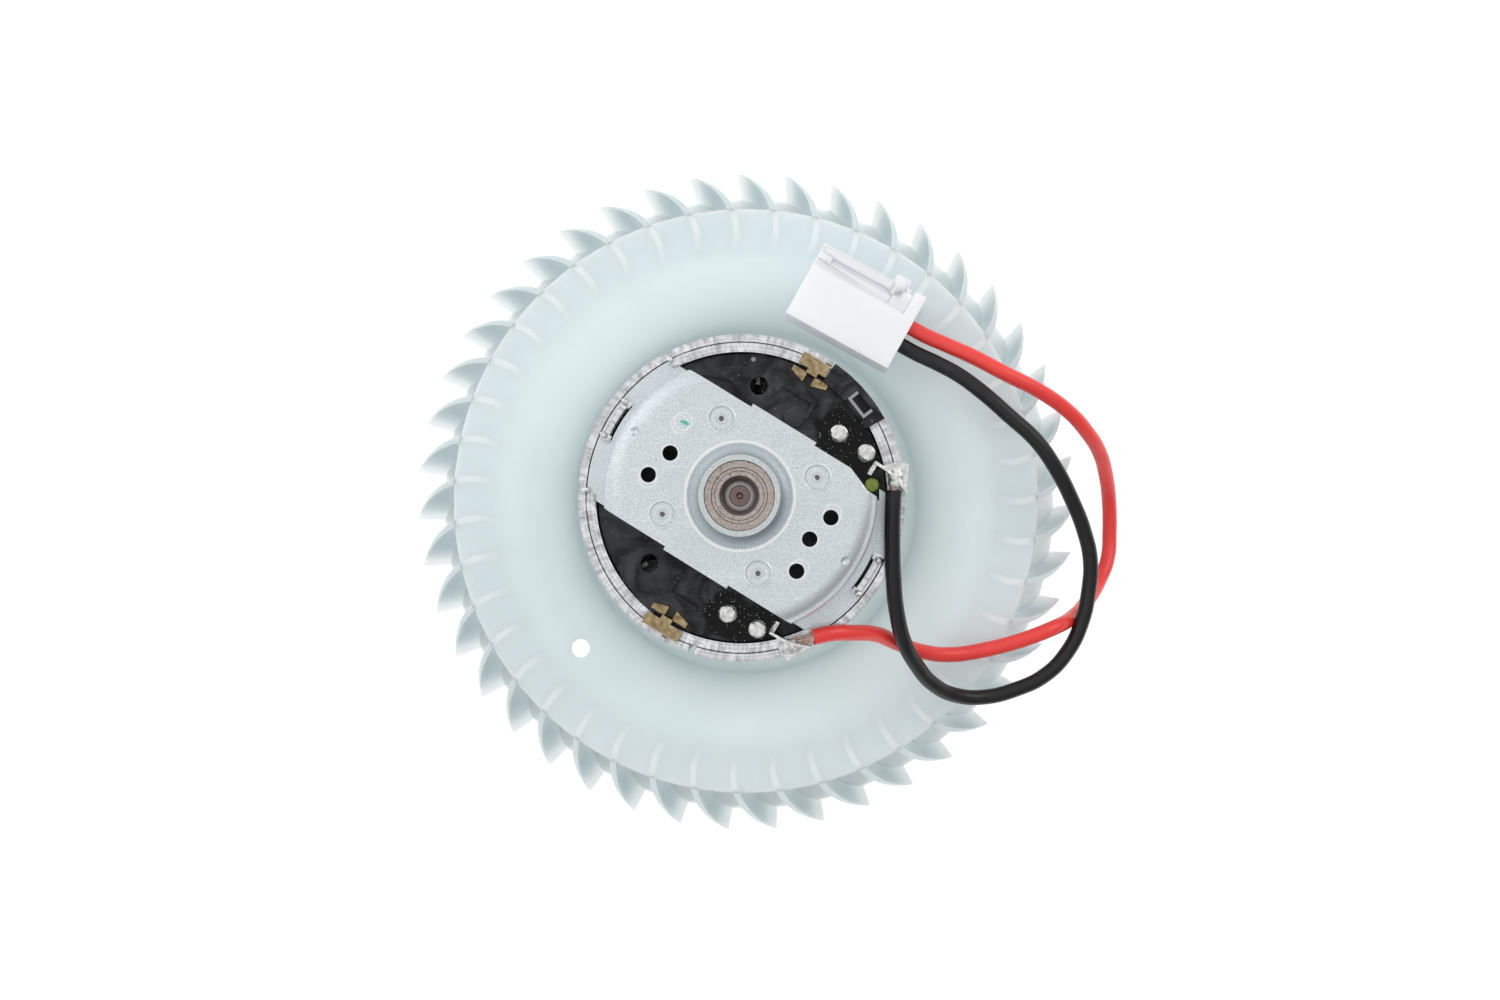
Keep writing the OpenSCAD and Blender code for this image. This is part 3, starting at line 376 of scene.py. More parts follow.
blade = {  # millimetres and degrees
    "count": 43, "phase": 7.1, "tipRadius": 70.0, "arcRadius": 12.1, "tipAngle": 22.0,
    "arcFade": (53.5, 58.8),  # radii between which a blade's arc comes up in the rim
    "thinFrom": 61.5,  # radius where a blade starts to thin towards its tip
    "sharpFrom": 0.985, "edgeInset": 0.05,  # share of the thinning where the sharp edge starts, and its place
}
bladeTilt = math.radians(blade["tipAngle"])
bladeCentre = Vector((
    blade["tipRadius"] - blade["arcRadius"] * math.cos(bladeTilt), blade["arcRadius"] * math.sin(bladeTilt),
))


def makeBladeArcs():
    # the arcs of the blades where they show through the rim, laid on as painted light, from the distance to each
    # blade's middle line
    tree, taken, given = startGroup(
        "bladeArcs",
        [("Radius", "Float", 0.0), ("Turn", "Float", 0.0), ("Half Width", "Float", 0.5), ("Feather", "Float", 0.5)],
        [("Mask", "Float")],
    )
    far = bladeCentre.length
    r = times(tree, taken["Radius"], 1 / mm)
    squares = math1(tree, "MULTIPLY_ADD", r, r, far * far)
    above = math1(tree, "SUBTRACT", squares, blade["arcRadius"] ** 2)
    lean = math1(tree, "ARCCOSINE", math1(tree, "DIVIDE", above, times(tree, r, 2 * far)))
    start = math.radians(blade["phase"]) + math.atan2(bladeCentre.y, bladeCentre.x) + math.pi
    turn = math1(tree, "ADD", math1(tree, "MULTIPLY_ADD", taken["Turn"], math.tau, -start), lean)
    shares = math1(tree, "WRAP", times(tree, turn, blade["count"] / math.tau), 0.5, -0.5)
    apart = math1(tree, "SUBTRACT", times(tree, shares, math.tau / blade["count"]), lean)
    across = times(tree, times(tree, r, -2 * far), math1(tree, "COSINE", apart))
    reach = math1(tree, "SQRT", math1(tree, "ADD", squares, across))
    gap = math1(tree, "ABSOLUTE", math1(tree, "SUBTRACT", reach, blade["arcRadius"]))
    outer = math1(tree, "ADD", taken["Half Width"], taken["Feather"])
    line = smoothed(tree, gap, outer, taken["Half Width"])
    inner = ranged(tree, r, *blade["arcFade"])
    tree.links.new(times(tree, line, inner), given["Mask"])
    return tree


def makeFolded():
    # the end plate's own frame folded onto one quarter, and the distance there to a spot given in millimetres
    tree, taken, given = startGroup(
        "foldedSpot", [("Vector", "Vector", None), ("U", "Float", 0.0), ("V", "Float", 0.0)],
        [("Distance", "Float"), ("U", "Float"), ("V", "Float"), ("Height", "Float")],
    )
    turned = addNode(tree, "Mapping", {
        "Vector": taken["Vector"], "Rotation": (0.0, 0.0, -bridgeTurn), "Scale": (1 / mm,) * 3,
    })
    apart = addNode(tree, "SeparateXYZ", {0: turned.outputs[0]}).outputs
    gaps = [
        math1(tree, "SUBTRACT", math1(tree, "ABSOLUTE", apart[axis]), taken[label])
        for axis, label in ((0, "U"), (1, "V"))
    ]
    flat = addNode(tree, "CombineXYZ", {0: gaps[0], 1: gaps[1], 2: 0.0}).outputs[0]
    length = addNode(tree, "VectorMath", {0: flat}, operation="LENGTH").outputs["Value"]
    tree.links.new(length, given["Distance"])
    for count, label in enumerate(("U", "V", "Height")):
        tree.links.new(apart[count], given[label])
    return tree


mottle = makeMottle()
folded = makeFolded()
specks = makeSpecks()
scratches = makeScratches()
polar = makePolar()
lathe = makeLathe()
bladeArcs = makeBladeArcs()


def startFinish(name, **fixed):
    # a new material, with what is the same all over set on the shader itself
    material = bpy.data.materials.new(name)
    material.use_nodes = True
    tree = material.node_tree
    shader = tree.nodes["Principled BSDF"]
    for key, value in fixed.items():
        label = "".join(" " + c if c.isupper() else c for c in key).title().replace("Ior", "IOR")
        shader.inputs[label].default_value = value
    at = addNode(tree, "TexCoord").outputs["Object"]
    return material, tree, shader, at


def bumped(tree, shader, height, distance, after=None):
    node = addNode(tree, "Bump", {"Height": height, "Distance": distance, "Strength": 1.0})
    if after is not None:
        tree.links.new(after, node.inputs["Normal"])
    tree.links.new(node.outputs[0], shader.inputs["Normal"])
    return node.outputs[0]


# Finishes

resin = {
    "rim": ((0.655, 0.725, 0.737), (0.615, 0.68, 0.69)),  # lighter and darker clouds
    # painted light: the cup's tone is lighter than the rim's, to lift the shade that the can and the cup wall throw
    # there
    "cup": ((0.85, 0.95, 0.945), (0.80, 0.91, 0.895)),
    # painted light at the blades' roots, where shade falls between the blades and the ring, and painted shade at
    # their tips, which the table's light brightens
    "bladeRootPaintedLight": ((0.86, 0.93, 0.94), (0.82, 0.89, 0.90)),
    "bladeTipPaintedShade": ((0.61, 0.665, 0.67), (0.57, 0.625, 0.63)),
    # painted light: the inlet ring is lighter, to cancel the shade that the blades throw on it
    "ring": ((0.92, 0.98, 0.985), (0.88, 0.94, 0.945)),
    "roughness": (0.40, 0.52), "cloudScale": 70.0, "cloudContrast": 1.6, "grainScale": 900.0, "grainDepth": 0.00002,
    "scatter": {"dish": 0.004, "blades": 0.0011},  # how far light spreads inside, in metres
    "glow": 0.07,  # painted glow: emission in the resin's own tone, standing in for the table's light that the thin wall lets through
    "topHeights": (33.2, 34.9),  # the blades' upper edges take the rim's tone between these heights
    "arcShare": 0.5, "arcPaintedLight": (0.92, 0.985, 0.99), "arcHalfWidth": 0.35, "arcFeather": 0.6,
}


def resinFinish(name, low, high, span, arcs=False, top=None, depth="blades"):
    # natural polypropylene: milky and cloudy, its tone going from one to another along the radius as painted light
    # and painted shade that even out how the light falls, with a painted glow
    material, tree, shader, at = startFinish(
        name, ior=1.46, subsurfaceWeight=1.0, subsurfaceScale=resin["scatter"][depth],
        subsurfaceRadius=(1.0, 1.0, 1.0), emissionStrength=resin["glow"],
    )
    clouds = [
        useGroup(tree, mottle, {
            "Vector": at, "Scale": resin["cloudScale"], "Contrast": resin["cloudContrast"],
            "Light": light, "Dark": dark,
        })
        for light, dark in (low, high, top or high)
    ]
    place = useGroup(tree, polar, {"Vector": at})
    # painted light and painted shade: the tone changes along the radius to lift the shade in the cup and at the
    # blade roots, and to damp the table's light on the blade tips
    share = ranged(tree, place["Radius"], span[0] * mm, span[1] * mm)
    tint = mixed(tree, share, clouds[0]["Color"], clouds[1]["Color"])
    if top:
        upper = ranged(tree, place["Height"], *(height * mm for height in resin["topHeights"]))
        tint = mixed(tree, upper, tint, clouds[2]["Color"])
    if arcs:
        marks = useGroup(tree, bladeArcs, {
            "Radius": place["Radius"], "Turn": place["Turn"],
            "Half Width": resin["arcHalfWidth"], "Feather": resin["arcFeather"],
        })
        # painted light: the blades' arcs laid lighter over the rim, standing in for light through the thin wall and
        # over the blades' shadows
        tint = laidOver(tree, tint, marks["Mask"], resin["arcShare"], resin["arcPaintedLight"])
    rough = ranged(tree, clouds[0]["Value"], 0.0, 1.0, *resin["roughness"])
    # the tint also feeds the emission, as a painted glow
    feed(tree, shader, {"Base Color": tint, "Emission Color": tint, "Roughness": rough})
    bumped(tree, shader, clouded(tree, at, resin["grainScale"]), resin["grainDepth"])
    return material


def near(tree, value, middle, half, feather):
    # 1 within half of the middle, falling to 0 over the feather
    return smoothed(tree, math1(tree, "ABSOLUTE", math1(tree, "SUBTRACT", value, middle)), half + feather, half)


def ringed(tree, tint, distance, ring, within=1.0):
    # lays a ring over the tint: its radius, half its width, its feather, the share laid over and its tone
    middle, half, feather, share, tone = ring
    mask = times(tree, near(tree, distance, middle, half, feather), within)
    return laidOver(tree, tint, mask, share, tone), mask


metalLook = {
    "grain": {"Detail": 2.0, "Contrast": 2.4}, "cloudScale": 90.0, "cloudShare": 0.35,
    "spotSize": 0.3, "spotShade": 0.35, "scores": {"Scale": 400.0, "Width": 0.012},
}


def metalFinish(name, light, dark, rough, scale=2200.0, bump=0.000004, spots=0.0, scored=0.0):
    # clouded metal, with dark spots over a share of it and light scores where they are given
    material, tree, shader, at = startFinish(name, metallic=1.0)
    look = metalLook
    grains = useGroup(tree, mottle, {"Vector": at, "Scale": scale, "Light": light, "Dark": dark, **look["grain"]})
    clouds = ranged(tree, clouded(tree, at, look["cloudScale"], 3.0), 0.35, 0.7, 0.0, look["cloudShare"])
    tint = mixed(tree, clouds, grains["Color"], dark)
    if spots:
        dots = useGroup(tree, specks, {"Vector": at, "Scale": scale / 2, "Size": look["spotSize"], "Share": spots})
        tint = mixed(tree, dots["Mask"], tint, [look["spotShade"] * c for c in dark])
    if scored:
        marks = useGroup(tree, scratches, {"Vector": at, **look["scores"]})
        tint = laidOver(tree, tint, marks["Mask"], scored, light)
    feed(tree, shader, {"Base Color": tint, "Roughness": ranged(tree, grains["Value"], 0.0, 1.0, *rough[::-1])})
    bumped(tree, shader, grains["Value"], bump)
    return material


def plasticFinish(name, light, dark, rough, scale=300.0, bump=0.00002, **fixed):
    # moulded or wound stuff with faint clouds and a fine grain
    material, tree, shader, at = startFinish(name, **fixed)
    cloud = useGroup(tree, mottle, {"Vector": at, "Scale": scale, "Contrast": 1.8, "Light": light, "Dark": dark})
    feed(tree, shader, {"Base Color": cloud["Color"], "Roughness": ranged(tree, cloud["Value"], 0.0, 1.0, *rough)})
    bumped(tree, shader, clouded(tree, at, scale * 6), bump)
    return material


zincCap = {  # millimetres, in the end plate's own frame; a ring is given as ringed takes it
    "light": (0.75, 0.795, 0.81), "dark": (0.51, 0.56, 0.585),
    "grain": {"Scale": 3400.0, "Detail": 3.0, "Contrast": 2.6}, "grainDepth": 0.000006,
    "cloudScale": 70.0, "cloudShare": 0.3, "roughness": (0.36, 0.5), "topHeight": 71.4,
    "pits": {"Scale": 900.0, "Size": 0.12, "Share": 0.05}, "pitTone": (0.2, 0.21, 0.22),
    "scratches": {"Scale": 60.0, "Width": 0.004}, "scratchTone": (0.35, (0.95, 0.97, 0.98)),
    "coinAt": 10.9, "coinDepth": 0.00007, "dotDepth": 1.2,  # the dot's depth as a share of the raised ring's height
    "coin": {
        # painted shade in the groove, the halo and the middle dot; painted highlight on the raised ring
        "groove": (2.4, 0.03, 0.12, 0.6, (0.33, 0.36, 0.37)),
        "rise": (2.62, 0.03, 0.2, 0.3, (0.95, 0.97, 0.98)),
        "halo": (0.95, 0.05, 0.3, 0.45, (0.45, 0.48, 0.5)),
        "dot": (0.0, 0.42, 0.2, 0.85, (0.07, 0.07, 0.075)),
    },
    # painted shade in the concave root round the collar
    "root": (9.125, 0.975, 0.3, 0.62, (0.36, 0.41, 0.44)), "rootRoughness": 0.12,
    # painted highlight on the lip beyond the root
    "lip": (10.65, 0.1, 0.3, 0.5, (0.97, 0.98, 0.98)),
    "collar": (7.425, 0.4, 0.15), "collarScale": 5200.0, "collarTone": (0.5, 0.5, 0.49),
    "holes": ((15.9, 0.0), (17.25, 5.75), (17.0, 6.6)), "holeEdgeHighlight": (1.7, 0.05, 0.25, 0.3, (0.97, 0.98, 0.98)),
    "penMark": (-16.4, 6.5, 1.15, 0.75), "penTone": (0.9, (0.05, 0.42, 0.36)), "penScale": 1900.0,
}


def zincCapFinish():
    # grained zinc with four coined rings drawn in painted shade and painted highlight, painted shade in the root
    # round the collar, painted highlights on its lip and round the holes, and a dab of the fitter's pen
    material, tree, shader, at = startFinish("zincCap", metallic=1.0)
    look = zincCap
    grains = useGroup(tree, mottle, {"Vector": at, "Light": look["light"], "Dark": look["dark"], **look["grain"]})
    clouds = ranged(tree, clouded(tree, at, look["cloudScale"], 4.0), 0.4, 0.75, 0.0, look["cloudShare"])
    tint = mixed(tree, clouds, grains["Color"], look["dark"])
    pits = useGroup(tree, specks, {"Vector": at, **look["pits"]})
    tint = mixed(tree, pits["Mask"], tint, look["pitTone"])
    marks = useGroup(tree, scratches, {"Vector": at, **look["scratches"]})
    tint = laidOver(tree, tint, marks["Mask"], *look["scratchTone"])
    coin = useGroup(tree, folded, {"Vector": at, "U": look["coinAt"], "V": look["coinAt"]})
    onTop = math1(tree, "GREATER_THAN", coin["Height"], look["topHeight"])
    masks = {}
    for part, ring in look["coin"].items():
        tint, masks[part] = ringed(tree, tint, coin["Distance"], ring, onTop)
    place = useGroup(tree, polar, {"Vector": at})
    radius = times(tree, place["Radius"], 1 / mm)
    tint, root = ringed(tree, tint, radius, look["root"])
    tint = ringed(tree, tint, radius, look["lip"], onTop)[0]
    coarse = ranged(tree, clouded(tree, at, look["collarScale"], 1.0), 0.4, 0.6)
    tint = laidOver(tree, tint, near(tree, radius, *look["collar"]), coarse, look["collarTone"])
    # painted highlight round the rim of each pierced hole
    for u, v in look["holes"]:
        hole = useGroup(tree, folded, {"Vector": at, "U": u, "V": v})
        tint = ringed(tree, tint, hole["Distance"], look["holeEdgeHighlight"])[0]
    u, v, wide, deep = look["penMark"]
    pen = addNode(tree, "CombineXYZ", {
        0: math1(tree, "DIVIDE", math1(tree, "SUBTRACT", coin["U"], u), wide),
        1: math1(tree, "DIVIDE", math1(tree, "SUBTRACT", coin["V"], v), deep), 2: 0.0,
    }).outputs[0]
    spread = addNode(tree, "VectorMath", {0: pen}, operation="LENGTH").outputs["Value"]
    ragged = clouded(tree, at, look["penScale"])
    blot = math1(tree, "LESS_THAN", math1(tree, "MULTIPLY_ADD", spread, 0.35, ragged), 0.72)
    blot = times(tree, times(tree, blot, math1(tree, "LESS_THAN", spread, 1.0)), onTop)
    tint = laidOver(tree, tint, blot, *look["penTone"])
    rough = ranged(tree, grains["Value"], 0.0, 1.0, *look["roughness"][::-1])
    feed(tree, shader, {
        "Base Color": tint, "Metallic": math1(tree, "SUBTRACT", 1.0, times(tree, blot, 0.8)),
        "Roughness": math1(tree, "MULTIPLY_ADD", root, look["rootRoughness"], rough),
    })
    grained = bumped(tree, shader, grains["Value"], look["grainDepth"])
    raised = math1(tree, "SUBTRACT", masks["rise"], times(tree, masks["dot"], look["dotDepth"]))
    bumped(tree, shader, raised, look["coinDepth"], after=grained)
    return material


rolledEdge = {
    "light": (0.86, 0.86, 0.88), "dark": (0.40, 0.395, 0.415), "streaks": 260.0, "ringPitch": 0.00016,
    "streakScale": (500.0, 60.0), "ringShare": 0.45, "streakShare": 0.55, "patchScale": 170.0,
    "roughness": (0.24, 0.5), "seam": 31.15, "seamHalf": 0.07,
    "wall": (0.86, 0.88, 0.89), "edgeHeight": 58.6, "seamTone": (0.015, 0.015, 0.017),
    "streakDepth": 0.00003,
}


def rolledEdgeFinish(name, darken=0.0):
    # cut edges of the rolled steel rings: radial streaks, fine rings and the dark seam between the two rings
    material, tree, shader, at = startFinish(name, metallic=1.0)
    look = rolledEdge
    place = useGroup(tree, polar, {"Vector": at})
    flat = addNode(tree, "CombineXYZ", {
        0: times(tree, place["Turn"], look["streaks"]),
        1: times(tree, place["Radius"], look["streakScale"][0]),
        2: times(tree, place["Height"], look["streakScale"][1]),
    }).outputs[0]
    streak = clouded(tree, flat, 1.0, 3.0)
    rings = useGroup(tree, lathe, {"Radius": place["Radius"], "Pitch": look["ringPitch"]})
    value = math1(tree, "MULTIPLY_ADD", rings["Height"], look["ringShare"], times(tree, streak, look["streakShare"]))
    tint = mixed(tree, ranged(tree, value, 0.38, 0.6), look["dark"], look["light"])
    patches = clouded(tree, at, look["patchScale"], 4.0)
    tint = mixed(tree, ranged(tree, patches, 0.45, 0.7, darken, darken + 0.4), tint, look["dark"])
    seam = near(tree, times(tree, place["Radius"], 1 / mm), look["seam"], look["seamHalf"], 0.06)
    tint = mixed(tree, seam, tint, look["seamTone"])
    onEdge = ranged(tree, place["Height"], (look["edgeHeight"] - 0.2) * mm, look["edgeHeight"] * mm)
    plated = mixed(tree, ranged(tree, patches, 0.3, 0.7, 0.0, 0.2), look["wall"], look["dark"])
    tint = mixed(tree, onEdge, plated, tint)
    rough = ranged(tree, value, 0.35, 0.65, *look["roughness"][::-1])
    feed(tree, shader, {"Base Color": tint, "Roughness": rough})
    bumped(tree, shader, times(tree, value, ranged(tree, onEdge, 0.0, 1.0, 0.15, 1.0)), look["streakDepth"])
    return material


cardLook = {  # millimetres, in the end plate's own frame
    "black": (0.013, 0.013, 0.014), "grey": (0.085, 0.086, 0.09), "dust": (0.2, 0.2, 0.205),
    "roughness": (0.34, 0.52), "rivets": ((9.9, 21.2), (16.6, 20.7)), "varnishReach": (6.9, 7.7),
    "swirl": {"Scale": 130.0, "Detail": 5.0, "Distortion": 1.6}, "swirlReach": 5.0,
    "motes": {"Scale": 1500.0, "Size": 0.28, "Share": 0.09}, "scratches": {"Scale": 60.0, "Width": 0.004},
    "crumbs": {"Scale": 2300.0, "Size": 0.26, "Share": 0.42}, "grainScale": 700.0,
    "varnish": (0.004, 0.004, 0.0045), "varnishRoughness": 0.12, "crumbTone": (0.85, (0.6, 0.6, 0.59)),
    "socketTop": 61.72, "socketRim": (0.33, 0.335, 0.345), "moteShare": 0.7, "scratchShare": 0.2,
    "pip": (-12.6, 24.9), "pipRadius": 0.4, "pipTone": (0.35, 0.35, 0.36), "grainDepth": 0.00003,
}


def cardFinish():
    # black moulding, rubbed grey and dusty, with glossy varnish and its white crumbs round the rivets
    material, tree, shader, at = startFinish("blackPhenolic", specularIorLevel=0.14)
    look = cardLook
    swirl = addNode(tree, "TexNoise", {"Vector": at, **look["swirl"]}).outputs[0]
    tint = mixed(tree, ranged(tree, swirl, 0.38, 0.72), look["black"], look["grey"])
    motes = useGroup(tree, specks, {"Vector": at, **look["motes"]})
    tint = laidOver(tree, tint, motes["Mask"], look["moteShare"], look["dust"])
    marks = useGroup(tree, scratches, {"Vector": at, **look["scratches"]})
    tint = laidOver(tree, tint, marks["Mask"], look["scratchShare"], look["dust"])
    wet = None
    for u, v in look["rivets"]:
        spot = useGroup(tree, folded, {"Vector": at, "U": u, "V": v})
        ragged = math1(tree, "MULTIPLY_ADD", swirl, look["swirlReach"], spot["Distance"])
        pool = ranged(tree, ragged, look["varnishReach"][1], look["varnishReach"][0])
        pool = times(tree, pool, math1(tree, "GREATER_THAN", spot["U"], 0.0))
        wet = pool if wet is None else math1(tree, "MAXIMUM", wet, pool)
    tint = mixed(tree, wet, tint, look["varnish"])
    crumbs = useGroup(tree, specks, {"Vector": at, **look["crumbs"]})
    tint = laidOver(tree, tint, times(tree, crumbs["Mask"], wet), *look["crumbTone"])
    # the socket's top faces above this height are laid lighter grey
    socketTopLighter = ranged(tree, spot["Height"], look["socketTop"], look["socketTop"] + 0.1)
    tint = mixed(tree, socketTopLighter, tint, look["socketRim"])
    u, v = look["pip"]
    pip = useGroup(tree, folded, {"Vector": at, "U": abs(u), "V": v})
    here = near(tree, pip["Distance"], 0.0, look["pipRadius"], 0.15)
    here = times(tree, here, math1(tree, "LESS_THAN", pip["U"], 0.0))
    here = times(tree, here, math1(tree, "GREATER_THAN", pip["V"], 0.0))
    tint = mixed(tree, here, tint, look["pipTone"])
    rough = ranged(tree, swirl, 0.35, 0.7, *look["roughness"])
    rough = ranged(tree, wet, 0.0, 1.0, rough, look["varnishRoughness"])
    feed(tree, shader, {"Base Color": tint, "Roughness": rough})
    bumped(tree, shader, clouded(tree, at, look["grainScale"], 3.0), look["grainDepth"])
    return material


oilAndShade = (0.05, 0.042, 0.04)
bushLook = {  # rings as ringed takes them, in millimetres
    "light": (0.54, 0.465, 0.43), "dark": (0.36, 0.305, 0.28), "pore": (0.07, 0.055, 0.05),
    "grain": {"Scale": 2600.0, "Detail": 3.0, "Contrast": 2.6},
    "pores": {"Scale": 1700.0, "Size": 0.3, "Share": 0.16},
    # three dark turned lines in the face, then painted shade over the bore out to 3.75
    "rings": [(radius, 0.05, 0.08, 0.65, oilAndShade) for radius in (4.75, 5.42, 6.78)] + [(0.0, 3.75, 0.25, 0.7, oilAndShade)],
    "roughness": (0.44, 0.62), "ringPitch": 0.00025, "grainDepth": 0.00001,
}


def bushFinish():
    # porous bronze with turned lines in its face and painted shade in its bore
    material, tree, shader, at = startFinish("sinteredBronze", metallic=1.0)
    look = bushLook
    grains = useGroup(tree, mottle, {"Vector": at, "Light": look["light"], "Dark": look["dark"], **look["grain"]})
    pores = useGroup(tree, specks, {"Vector": at, **look["pores"]})
    tint = mixed(tree, pores["Mask"], grains["Color"], look["pore"])
    place = useGroup(tree, polar, {"Vector": at})
    radius = times(tree, place["Radius"], 1 / mm)
    for ring in look["rings"]:
        tint = ringed(tree, tint, radius, ring)[0]
    rough = ranged(tree, grains["Value"], 0.0, 1.0, *look["roughness"][::-1])
    feed(tree, shader, {"Base Color": tint, "Roughness": rough})
    rings = useGroup(tree, lathe, {"Radius": place["Radius"], "Pitch": look["ringPitch"]})
    bumped(tree, shader, math1(tree, "ADD", rings["Height"], grains["Value"]), look["grainDepth"])
    return material


shaftLook = {
    "silver": (0.97, 0.96, 0.95), "steel": (0.56, 0.54, 0.535), "endHeight": 72.0,
    "core": (0.13, 0.085, 0.075), "coreLight": (0.22, 0.165, 0.155), "coreRadius": 1.95,
    "dark": (0.06, 0.05, 0.05), "darkRadius": 2.12, "ringPitch": 0.00016, "groundPitch": 0.0003,
    "roughness": (0.22, 0.36), "ringDepth": 0.00002, "edgeHighlightMetal": -0.7,  # how far the turned edge is from bare metal, so that its near-white tone stands as a painted highlight
}


def shaftFinish():
    # ground steel; the turned end has a reddish oiled middle inside a dark ring, and its edge is painted near white
    # and less metallic as a painted highlight
    material, tree, shader, at = startFinish("groundShaft", metallic=1.0)
    look = shaftLook
    place = useGroup(tree, polar, {"Vector": at})
    radius = times(tree, place["Radius"], 1 / mm)
    bands = useGroup(tree, lathe, {"Radius": place["Radius"], "Pitch": look["ringPitch"]})
    length = useGroup(tree, lathe, {"Radius": place["Height"], "Pitch": look["groundPitch"]})
    tint = mixed(tree, ranged(tree, length["Height"], 0.3, 0.7), look["steel"], look["silver"])
    onEnd = ranged(tree, place["Height"], look["endHeight"] * mm, (look["endHeight"] + 0.15) * mm)
    ring = math1(tree, "LESS_THAN", radius, look["darkRadius"])
    core = math1(tree, "LESS_THAN", radius, look["coreRadius"])
    turned = mixed(tree, ranged(tree, bands["Height"], 0.3, 0.75), look["core"], look["coreLight"])
    face = mixed(tree, ring, look["silver"], look["dark"])
    face = mixed(tree, core, face, turned)
    onEnd = math1(tree, "MAXIMUM", onEnd, ring)
    tint = mixed(tree, onEnd, tint, face)
    # painted highlight: the turned edge keeps the near-white silver tone and loses most of its metal sheen
    turnedEdgeHighlight = math1(tree, "SUBTRACT", onEnd, ring)
    feed(tree, shader, {
        "Base Color": tint, "Metallic": math1(tree, "MULTIPLY_ADD", turnedEdgeHighlight, look["edgeHighlightMetal"], 1.0),
        "Roughness": ranged(tree, bands["Height"], 0.3, 0.7, *look["roughness"]),
    })
    bumped(tree, shader, bands["Height"], look["ringDepth"])
    return material


finishes = {
    "wheel_resin": resinFinish("dishResin", resin["cup"], resin["rim"], (36.0, 54.0), arcs=True, depth="dish"),
    "bright_steel": shaftFinish(),
    "lamination": metalFinish("oxideSteel", (0.3, 0.31, 0.33), (0.18, 0.19, 0.2), (0.4, 0.55)),
    "red_fibre": plasticFinish("redFibre", (0.62, 0.14, 0.1), (0.5, 0.1, 0.07), (0.6, 0.75)),
    "enamelled_copper": plasticFinish(
        "copperEnamel", (0.55, 0.2, 0.07), (0.4, 0.13, 0.04), (0.25, 0.4), metallic=0.5,
    ),
    "copper": metalFinish("bareCopper", (0.8, 0.42, 0.25), (0.6, 0.28, 0.15), (0.3, 0.45)),
    "white_nylon": plasticFinish(
        "whiteNylon", (0.975, 0.97, 1.0), (0.93, 0.925, 0.99), (0.38, 0.5), scale=220.0, bump=0.000015,
        subsurfaceWeight=0.6, subsurfaceScale=0.002, subsurfaceRadius=(1.0, 1.0, 1.0),
    ),
    "brown_fibre": plasticFinish("brownFibre", (0.3, 0.18, 0.08), (0.22, 0.13, 0.06), (0.6, 0.75)),
    "zinc_plate": zincCapFinish(),
    "ferrite": plasticFinish("ferrite", (0.13, 0.13, 0.14), (0.08, 0.08, 0.09), (0.55, 0.7)),
    "sintered_bronze": bushFinish(),
    "felt": plasticFinish("oiledFelt", (0.7, 0.66, 0.55), (0.55, 0.5, 0.4), (0.85, 0.95), bump=0.0001),
    "black_moulding": cardFinish(),
    "brass": metalFinish(
        "brightBrass", (0.47, 0.37, 0.21), (0.19, 0.135, 0.07), (0.2, 0.38),
        scale=900.0, bump=0.00001, spots=0.06, scored=0.4,
    ),
    "carbon": plasticFinish("carbonBrush", (0.08, 0.08, 0.085), (0.05, 0.05, 0.055), (0.35, 0.5)),
    "tinned_brass": metalFinish(
        "tinnedBrass", (0.9, 0.9, 0.89), (0.5, 0.5, 0.48), (0.14, 0.4), scale=900.0, bump=0.00014,
    ),
    "green_epoxy": plasticFinish(
        "greenEpoxy", (0.4, 0.45, 0.08), (0.16, 0.24, 0.03), (0.2, 0.35), scale=900.0, bump=0.0001,
    ),
    "red_vinyl": plasticFinish("redVinyl", (0.9, 0.055, 0.045), (0.8, 0.04, 0.035), (0.24, 0.34), scale=120.0),
    "black_vinyl": plasticFinish(
        "blackVinyl", (0.011, 0.011, 0.012), (0.006, 0.006, 0.007), (0.22, 0.34),
        scale=160.0, specularIorLevel=0.35,
    ),
}
print("finishes mixed")


# CAD nodes: carried over, or copied, merged and given worn edges

edges = {  # bevel width in millimetres
    "impeller_hub_plate": 0.3, "impeller_blades": 0.18, "impeller_inlet_ring": 0.3,
    "rear_end_plate": 0.12, "motor_can": 0.12, "flux_ring": 0.12, "brush_card": 0.12,
    "brush_holder_positive": 0.08, "brush_holder_negative": 0.08, "terminal_positive": 0.08,
    "terminal_negative": 0.08, "connector_housing": 0.3, "rear_bush": 0.06, "shaft": 0.05,
}


joining = {"points": 2e-6, "tips": 5e-6, "flatAngle": 0.4}  # metres, metres and degrees


def mergedCopy(node):
    # a CAD node's loose triangles, merged and with their flat faces joined
    shape = bmesh.new()
    shape.from_mesh(cadNodes[node].data)
    bmesh.ops.remove_doubles(shape, verts=shape.verts, dist=joining["points"])
    flat = math.radians(joining["flatAngle"])
    bmesh.ops.dissolve_limit(shape, angle_limit=flat, verts=shape.verts, edges=shape.edges)
    return shape


def islands(shape):
    # the separate solids of a shape, each as a list of its points
    left = set(shape.verts)
    groups = []
    while left:
        front = [left.pop()]
        group = []
        while front:
            vert = front.pop()
            group.append(vert)
            for edge in vert.link_edges:
                other = edge.other_vert(vert)
                if other in left:
                    left.discard(other)
                    front.append(other)
        groups.append(group)
    return groups


